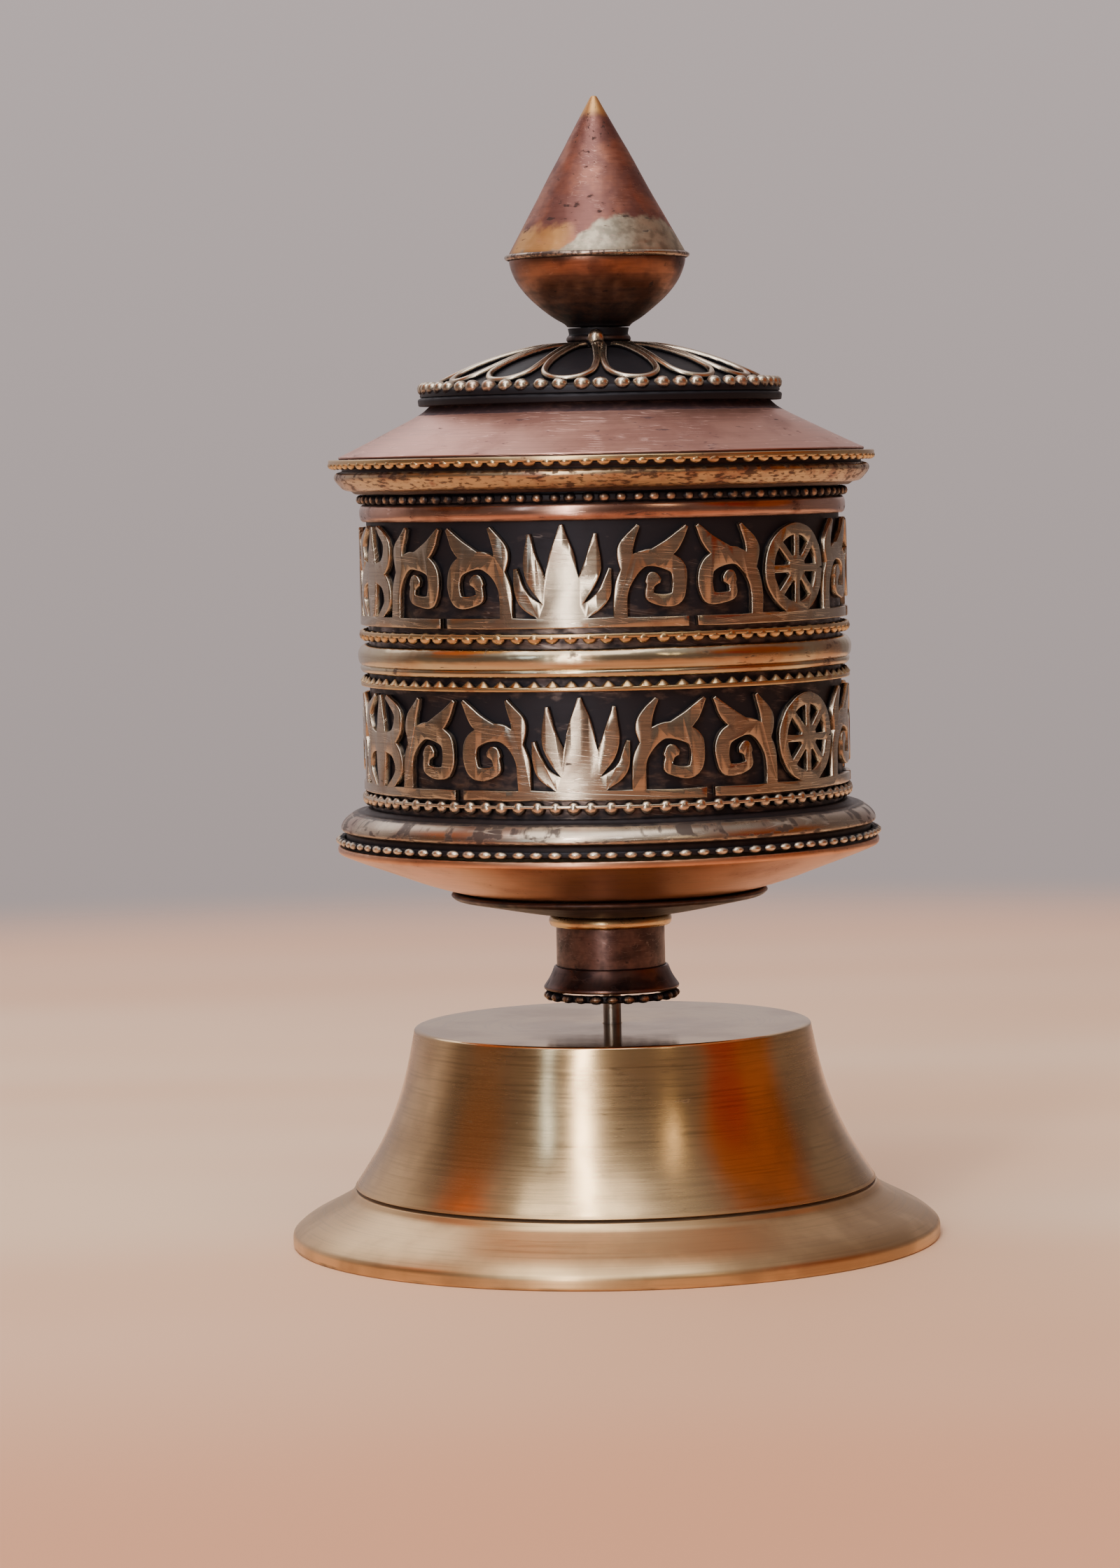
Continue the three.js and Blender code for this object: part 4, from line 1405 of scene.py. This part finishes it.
@dataclass
class PetalDisc:
    """The dark domed disc with its beaded rim and wire petals."""

    petals: int = 14
    wire: float = 0.38
    beads: int = 56
    side: tuple[tuple[float, float], ...] = (
        (4.4, 0.62), (7.5, 0.74), (10.6, 0.84), (13.6, 0.86), (15.9, 0.74), (17.2, 0.42)
    )
    tip: float = 17.6
    solder_drops: tuple[tuple[tuple[float, float, float], tuple[float, float, float]], ...] = (
        ((-0.35, -3.75, 100.1), (0.95, 0.75, 1.15)),
        ((-0.1, -4.9, 99.45), (0.85, 1.5, 0.6)),
        ((-0.1, -6.7, 99.2), (0.5, 1.1, 0.4)),
        ((3.3, 2.3, 99.6), (0.7, 0.6, 0.5)),
    )

    def dome(self, disc: Extent) -> list[Corner]:
        """Returns the disc's upper face from the neck to the rim."""
        return profile(
            0, disc.high,
            (-3.9, -0.02, 0.1, 0.3), (-7.4, -0.2, FLOWING, 0.3), (-13.2, -1.8, FLOWING, 0.4),
            (-18, -4.0, FLOWING, 0.3), (0.2 - disc.radius, -5.25, 0.25, 0.3),
        )

    def height(self, radius: float) -> float:
        """Returns the height of the dome's face at a radius."""
        line = rounded(self.dome(Extent.of("petal_disc")), False)
        for a, b in zip(line, line[1:]):
            if a.x <= radius <= b.x and b.x > a.x:
                return a.y + (b.y - a.y) * (radius - a.x) / (b.x - a.x)
        return line[0].y if radius < line[0].x else line[-1].y

    def build(self) -> None:
        """Makes the disc, its beads and its petals."""
        disc = Extent.of("petal_disc")
        # The underside and lower edge have low wear, so they take the dark oxide colour: painted
        # shade under the disc.
        under = [
            *profile(disc.radius, disc.low, (0, 0.75, 0.2, 0.3), (0.1, 0.05, 0.15, 0.1),
                     (0.9, 0.1, 0.1, 0.1)),
            *profile(0, disc.high, (-17.6, -4.75, FLOWING, 0.1), (-13, -2.6, FLOWING, 0.1),
                     (-7.2, -1.0, FLOWING, 0.1), (-3.9, -0.85, 0.1, 0.1)),
        ]
        turned_piece("petal_disc", "lid", BLACK_COPPER, [*self.dome(disc), *under])
        self.rim_beads()
        self.petal_wires()

    def rim_beads(self) -> None:
        """Makes the row of large beads at the rim."""
        rim = Extent.of("petal_disc_beads")
        ring = rim.radius - 0.72
        piece = Piece("petal_disc_beads_piece")
        piece.turn(
            profile(ring, rim.low, (0.6, 0.35, 0.2, 0.1), (-0.6, -0.15, 0.2, 0.1),
                    (-0.45, 0.65, 0.2, 0.1), (0.3, 1.0, 0.2, 0.1)),
            TURN_SIDES, 2,
        )
        chance = random.Random(21)
        pitch = 2 * math.pi * ring / self.beads
        for i in range(self.beads):
            angle = (i + chance.uniform(-0.07, 0.07)) * 2 * math.pi / self.beads
            turn = Matrix.Rotation(angle, 4, "Z")
            place = turn @ Matrix.Translation((0, -ring, rim.middle - 0.02))
            lean = Matrix.Rotation(math.radians(-38), 4, "X")
            half = Vector((pitch * 0.45, 0.92, 0.8)) * chance.uniform(0.92, 1.0)
            piece.bead(place @ lean, half, turn.to_3x3() @ Vector((0, -0.6, 0.8)))
        piece.finish(WIRE_BRASS, "lid", "petal_disc_beads")

    def petal_wires(self) -> None:
        """Makes the wire petals, whose sides run side by side from the neck."""
        piece = Piece("petal_wire_piece")
        half = math.pi / self.petals
        for i in range(self.petals):
            middle = (i + 0.5) * 2 * half
            mirror = [(radius, -share) for radius, share in reversed(self.side)]
            corners = []
            for radius, share in (*self.side, (self.tip, 0.0), *mirror):
                angle = middle + share * half
                corners.append(Vector((radius * math.sin(angle), -radius * math.cos(angle), 0)))
            path = flowing(corners, 6)
            for point in path:
                point.z = self.height(point.length) + self.wire * 0.75
            piece.sweep(path, self.wire, lambda p: Vector((p.x * 0.02, p.y * 0.02, 1)).normalized())
        for place, half in self.solder_drops:
            piece.bead(Matrix.Translation(place), Vector(half), Vector((0, -0.8, 0.6)))
        piece.finish(WIRE_BRASS, "lid", "petal_wire")


@dataclass
class Finial:
    """The pointed finial with its neck, seam and hidden fastening."""

    sheet: float = 0.8
    cup_curve: tuple[tuple[float, float], ...] = (
        (0.0, 0.0), (0.2, 1.3), (0.9, 2.9), (2.2, 4.5), (3.8, 5.9), (5.1, 6.9), (6.2, 7.5)
    )

    def build(self) -> None:
        """Makes the finial's pieces."""
        stud = Extent.of("finial_stud")
        hole = stud.radius + GAP
        neck = Extent.of("finial_neck")
        turned_piece("finial_neck", "lid", BLACK_COPPER, [
            Corner(hole, neck.low, 0, 0.2),
            *profile(neck.radius, neck.low, (0.05, 0, 0.15, 0.6), (0.35, 0.3, 0.2, 0.6),
                     (0.75, 0.5, 0.15, 0.1), (0.4, 0.75, 0.2, 0.7), (0.45, 1.15, 0.2, 0.7),
                     (0.75, 1.4, 0.2, 0.1)),
            Corner(neck.radius - 0.6, neck.high, 0.1, 0.3), Corner(hole, neck.high, 0, 0.2),
        ], SLEEVE_SIDES)
        self.bulb(hole)
        self.fastening(stud, hole)

    def bulb(self, hole: float) -> None:
        """Makes the cup, the cone and the brass seam between them."""
        cup = Extent.of("finial_cup")
        cone = Extent.of("finial_cone")
        seam = Extent.of("finial_seam")
        half = (seam.high - seam.low) / 2
        wall = self.sheet
        rim = cup.radius
        # The wear falls from 0.95 at the rim towards the bottom, so the cup's lower part takes the
        # dark oxide colour: painted shade under its bulge.
        outer = [
            Corner(rim - inset, cup.high - drop, FLOWING, 0.95 - 0.09 * drop)
            for inset, drop in self.cup_curve
        ]
        inner = [
            Corner(rim - inset - wall, cup.high - drop + wall * 0.5, FLOWING, 0.3)
            for inset, drop in self.cup_curve[1:-1]
        ]
        corners = [
            *outer, Corner(3.5, cup.low, 0.2, 0.1), Corner(hole, cup.low, 0, 0.1),
            Corner(hole, cup.low + wall, 0, 0.2), Corner(3.2, cup.low + wall, 0.3, 0.3),
            *reversed(inner), Corner(rim - wall, cup.high, 0, 0.3),
        ]
        turned_piece("finial_cup", "lid", CUP_COPPER, corners, FINIAL_SIDES, (0.1, 4.0, 13))
        slope = cup.radius / (cone.high + 0.6 - cone.low)
        turned_piece("finial_cone", "lid", FINIAL_COPPER, [
            Corner(0, cone.high, 0, 1), Corner(0.35, cone.high, 0.3, 1),
            Corner(0.9, cone.high - 1.0, 0.6, 1),
            Corner(slope * 9, cone.low + 9.4, FLOWING, 0.9),
            *profile(rim, cone.low, (0.12, 0.4, 0.3, 0.9), (0, 0, 0, 0.9), (wall, 0, 0, 0.3)),
            Corner(0, cone.high - 2.6, 0, 0.3),
        ], FINIAL_SIDES, (0.16, 4.5, 14))
        turned_piece("finial_seam", "lid", PALE_BRASS, profile(
            seam.radius, seam.middle,
            (0.4, 0.05 - half, 0.1, 0.5), (0.04, -0.15, 0.2), (0.04, 0.15, 0.2),
            (0.4, half - 0.05, 0.1, 0.8),
        ), FINIAL_SIDES)

    def fastening(self, stud: Extent, hole: float) -> None:
        """Makes the stud, washer and nut inside the lid."""
        turned_piece("finial_stud", "lid", PIN_STEEL, [
            Corner(0, stud.low), Corner(stud.radius, stud.low, 0.2),
            Corner(stud.radius, stud.high, 0.2), Corner(0, stud.high),
        ], ROD_SIDES)
        plain_tube("finial_washer", "lid", hole)
        hex_nut("finial_nut", "lid", hole)


# ---------- studio ----------


@dataclass
class Panel:
    """A soft light panel, placed by its direction from the wheel."""

    name: str
    azimuth: float
    elevation: float
    width: float
    height: float
    power: float
    colour: Colour = (1.0, 0.97, 0.93)
    distance: float = 1.4

    def build(self, target: Vector) -> None:
        """Makes the light, facing the target."""
        light = bpy.data.lights.new(self.name, "AREA")
        light.shape = "RECTANGLE"
        light.size = self.width
        light.size_y = self.height
        light.energy = self.power
        light.color = self.colour
        towards = sight(self.azimuth, self.elevation)
        made = bpy.data.objects.new(self.name, light)
        made.location = target + towards * self.distance
        made.rotation_euler = towards.to_track_quat("Z", "Y").to_euler()
        bpy.context.scene.collection.objects.link(made)


@dataclass
class Studio:
    """The floor, backdrop colour, lights and camera."""

    lens: float = 110.9
    camera_place: tuple[float, float, float] = (-0.0053, -0.537, 0.0875)
    pitch: float = 3.9
    roll: float = 1.2
    floor_radius: float = 0.48
    floor_fade: tuple[float, float] = (0.33, 0.46)

    def build(self) -> None:
        """Sets up the studio."""
        self.camera()
        self.floor()
        self.world()
        target = Vector((0, 0, 0.06))
        panels = [
            Panel("window", -18, 24, 0.15, 1.9, 14.0),
            Panel("blue_window", -38, 24, 0.10, 0.55, 0.9, (0.62, 0.8, 1.0)),
            Panel("warm_window", 32, 34, 0.09, 0.45, 0.7, (1.0, 0.80, 0.50)),
            Panel("overhead", -25, 74, 1.1, 1.1, 12.0, (0.97, 0.98, 1.0)),
            Panel("back", -150, 40, 0.9, 0.7, 2.6, (0.95, 0.97, 1.0)),
        ]
        for panel in panels:
            panel.build(target)

    def camera(self) -> None:
        """Makes the camera."""
        data = bpy.data.cameras.new("camera")
        data.lens = self.lens
        data.sensor_width = 36
        made = bpy.data.objects.new("camera", data)
        turn = Matrix.Rotation(math.radians(90 - self.pitch), 4, "X") @ Matrix.Rotation(
            math.radians(-self.roll), 4, "Z"
        )
        made.matrix_world = Matrix.Translation(self.camera_place) @ turn
        bpy.context.scene.collection.objects.link(made)
        bpy.context.scene.camera = made

    def floor(self) -> None:
        """Makes the round pale table top, which fades out at its edge."""
        mesh = bmesh.new()
        bmesh.ops.create_circle(mesh, cap_ends=True, segments=96, radius=self.floor_radius)
        data = bpy.data.meshes.new("floor")
        mesh.to_mesh(data)
        mesh.free()
        made = bpy.data.objects.new("floor", data)
        bpy.context.scene.collection.objects.link(made)
        material, graph = new_material("pale_floor")
        space = TurnedSpace(graph)
        drift = graph.noise(graph.vector("MULTIPLY", space.place, (0.003, 0.014, 0)), 1.0, 1.0)
        depth = graph.node("ShaderNodeSeparateXYZ", None, {0: space.place}).outputs[1]
        near = Value(graph, depth).step(20, -160)
        far = Value(graph, depth).step(120, 420)
        base = graph.mix(drift.step(0.3, 0.7), (1.0, 0.70, 0.48), (0.92, 0.58, 0.37))
        base = graph.mix(far, base, (0.82, 0.50, 0.35))
        base = graph.mix(near, base, (0.80, 0.38, 0.21))
        fade = space.radius.step(self.floor_fade[1] / MM, self.floor_fade[0] / MM)
        graph.surface(Base_Color=base, Roughness=0.6, Specular_IOR_Level=0.12, Alpha=fade)
        data.materials.append(material)

    def world(self) -> None:
        """Paints the room: a pale wall behind, dim in front, with warm patches at both sides."""
        world = bpy.data.worlds.new("world")
        bpy.context.scene.world = world
        world.use_nodes = True
        graph = Graph(world.node_tree)
        direction = graph.node("ShaderNodeTexCoord").outputs["Generated"]
        parts = graph.node("ShaderNodeSeparateXYZ", None, {0: direction})
        depth = Value(graph, parts.outputs[1])
        rise = Value(graph, parts.outputs[2])
        wall = graph.mix(rise.step(-0.2, 0.3), (0.43, 0.355, 0.345), (0.67, 0.58, 0.57))
        wall = graph.mix(Value(graph, parts.outputs[0]).step(0.12, 0.6), wall, (0.22, 0.18, 0.17))
        room = graph.mix(rise.step(0.45, 0.85), (0.16, 0.125, 0.11), (0.46, 0.45, 0.47))
        colour = graph.mix(depth.step(0.55, 0.1), wall, room)
        patches = [
            ((80, 27), (0.84, 0.95), (0.34, 0.09, 0.01)),
            ((66, 20), (0.972, 0.988), (0.30, 0.03, 0.015)),
            ((-80, 26), (0.95, 0.985), (0.30, 0.13, 0.06)),
            ((-98, 50), (0.965, 0.985), (0.85, 0.20, 0.03)),
            ((-88, 60), (0.985, 0.995), (0.95, 0.45, 0.08)),
        ]
        for (azimuth, elevation), spread, tint in patches:
            lined = graph.towards(direction, sight(azimuth, elevation))
            colour = graph.mix(lined.step(*spread), colour, tint)
        backdrop = graph.node("ShaderNodeBackground", None, {"Color": colour, "Strength": 1.0})
        graph.node("ShaderNodeOutputWorld", None, {"Surface": backdrop.outputs[0]})


def main() -> None:
    """Builds the studio and the wheel."""
    logging.basicConfig(level=logging.INFO, format="%(name)s: %(message)s")
    Studio().build()
    for part in (Foot, Drum, Sleeve, PaperRoll, OrnamentRows, Lid, PetalDisc, Finial):
        part().build()
        LOG.info("%s done", part.__name__)


if __name__ == "__main__":
    main()
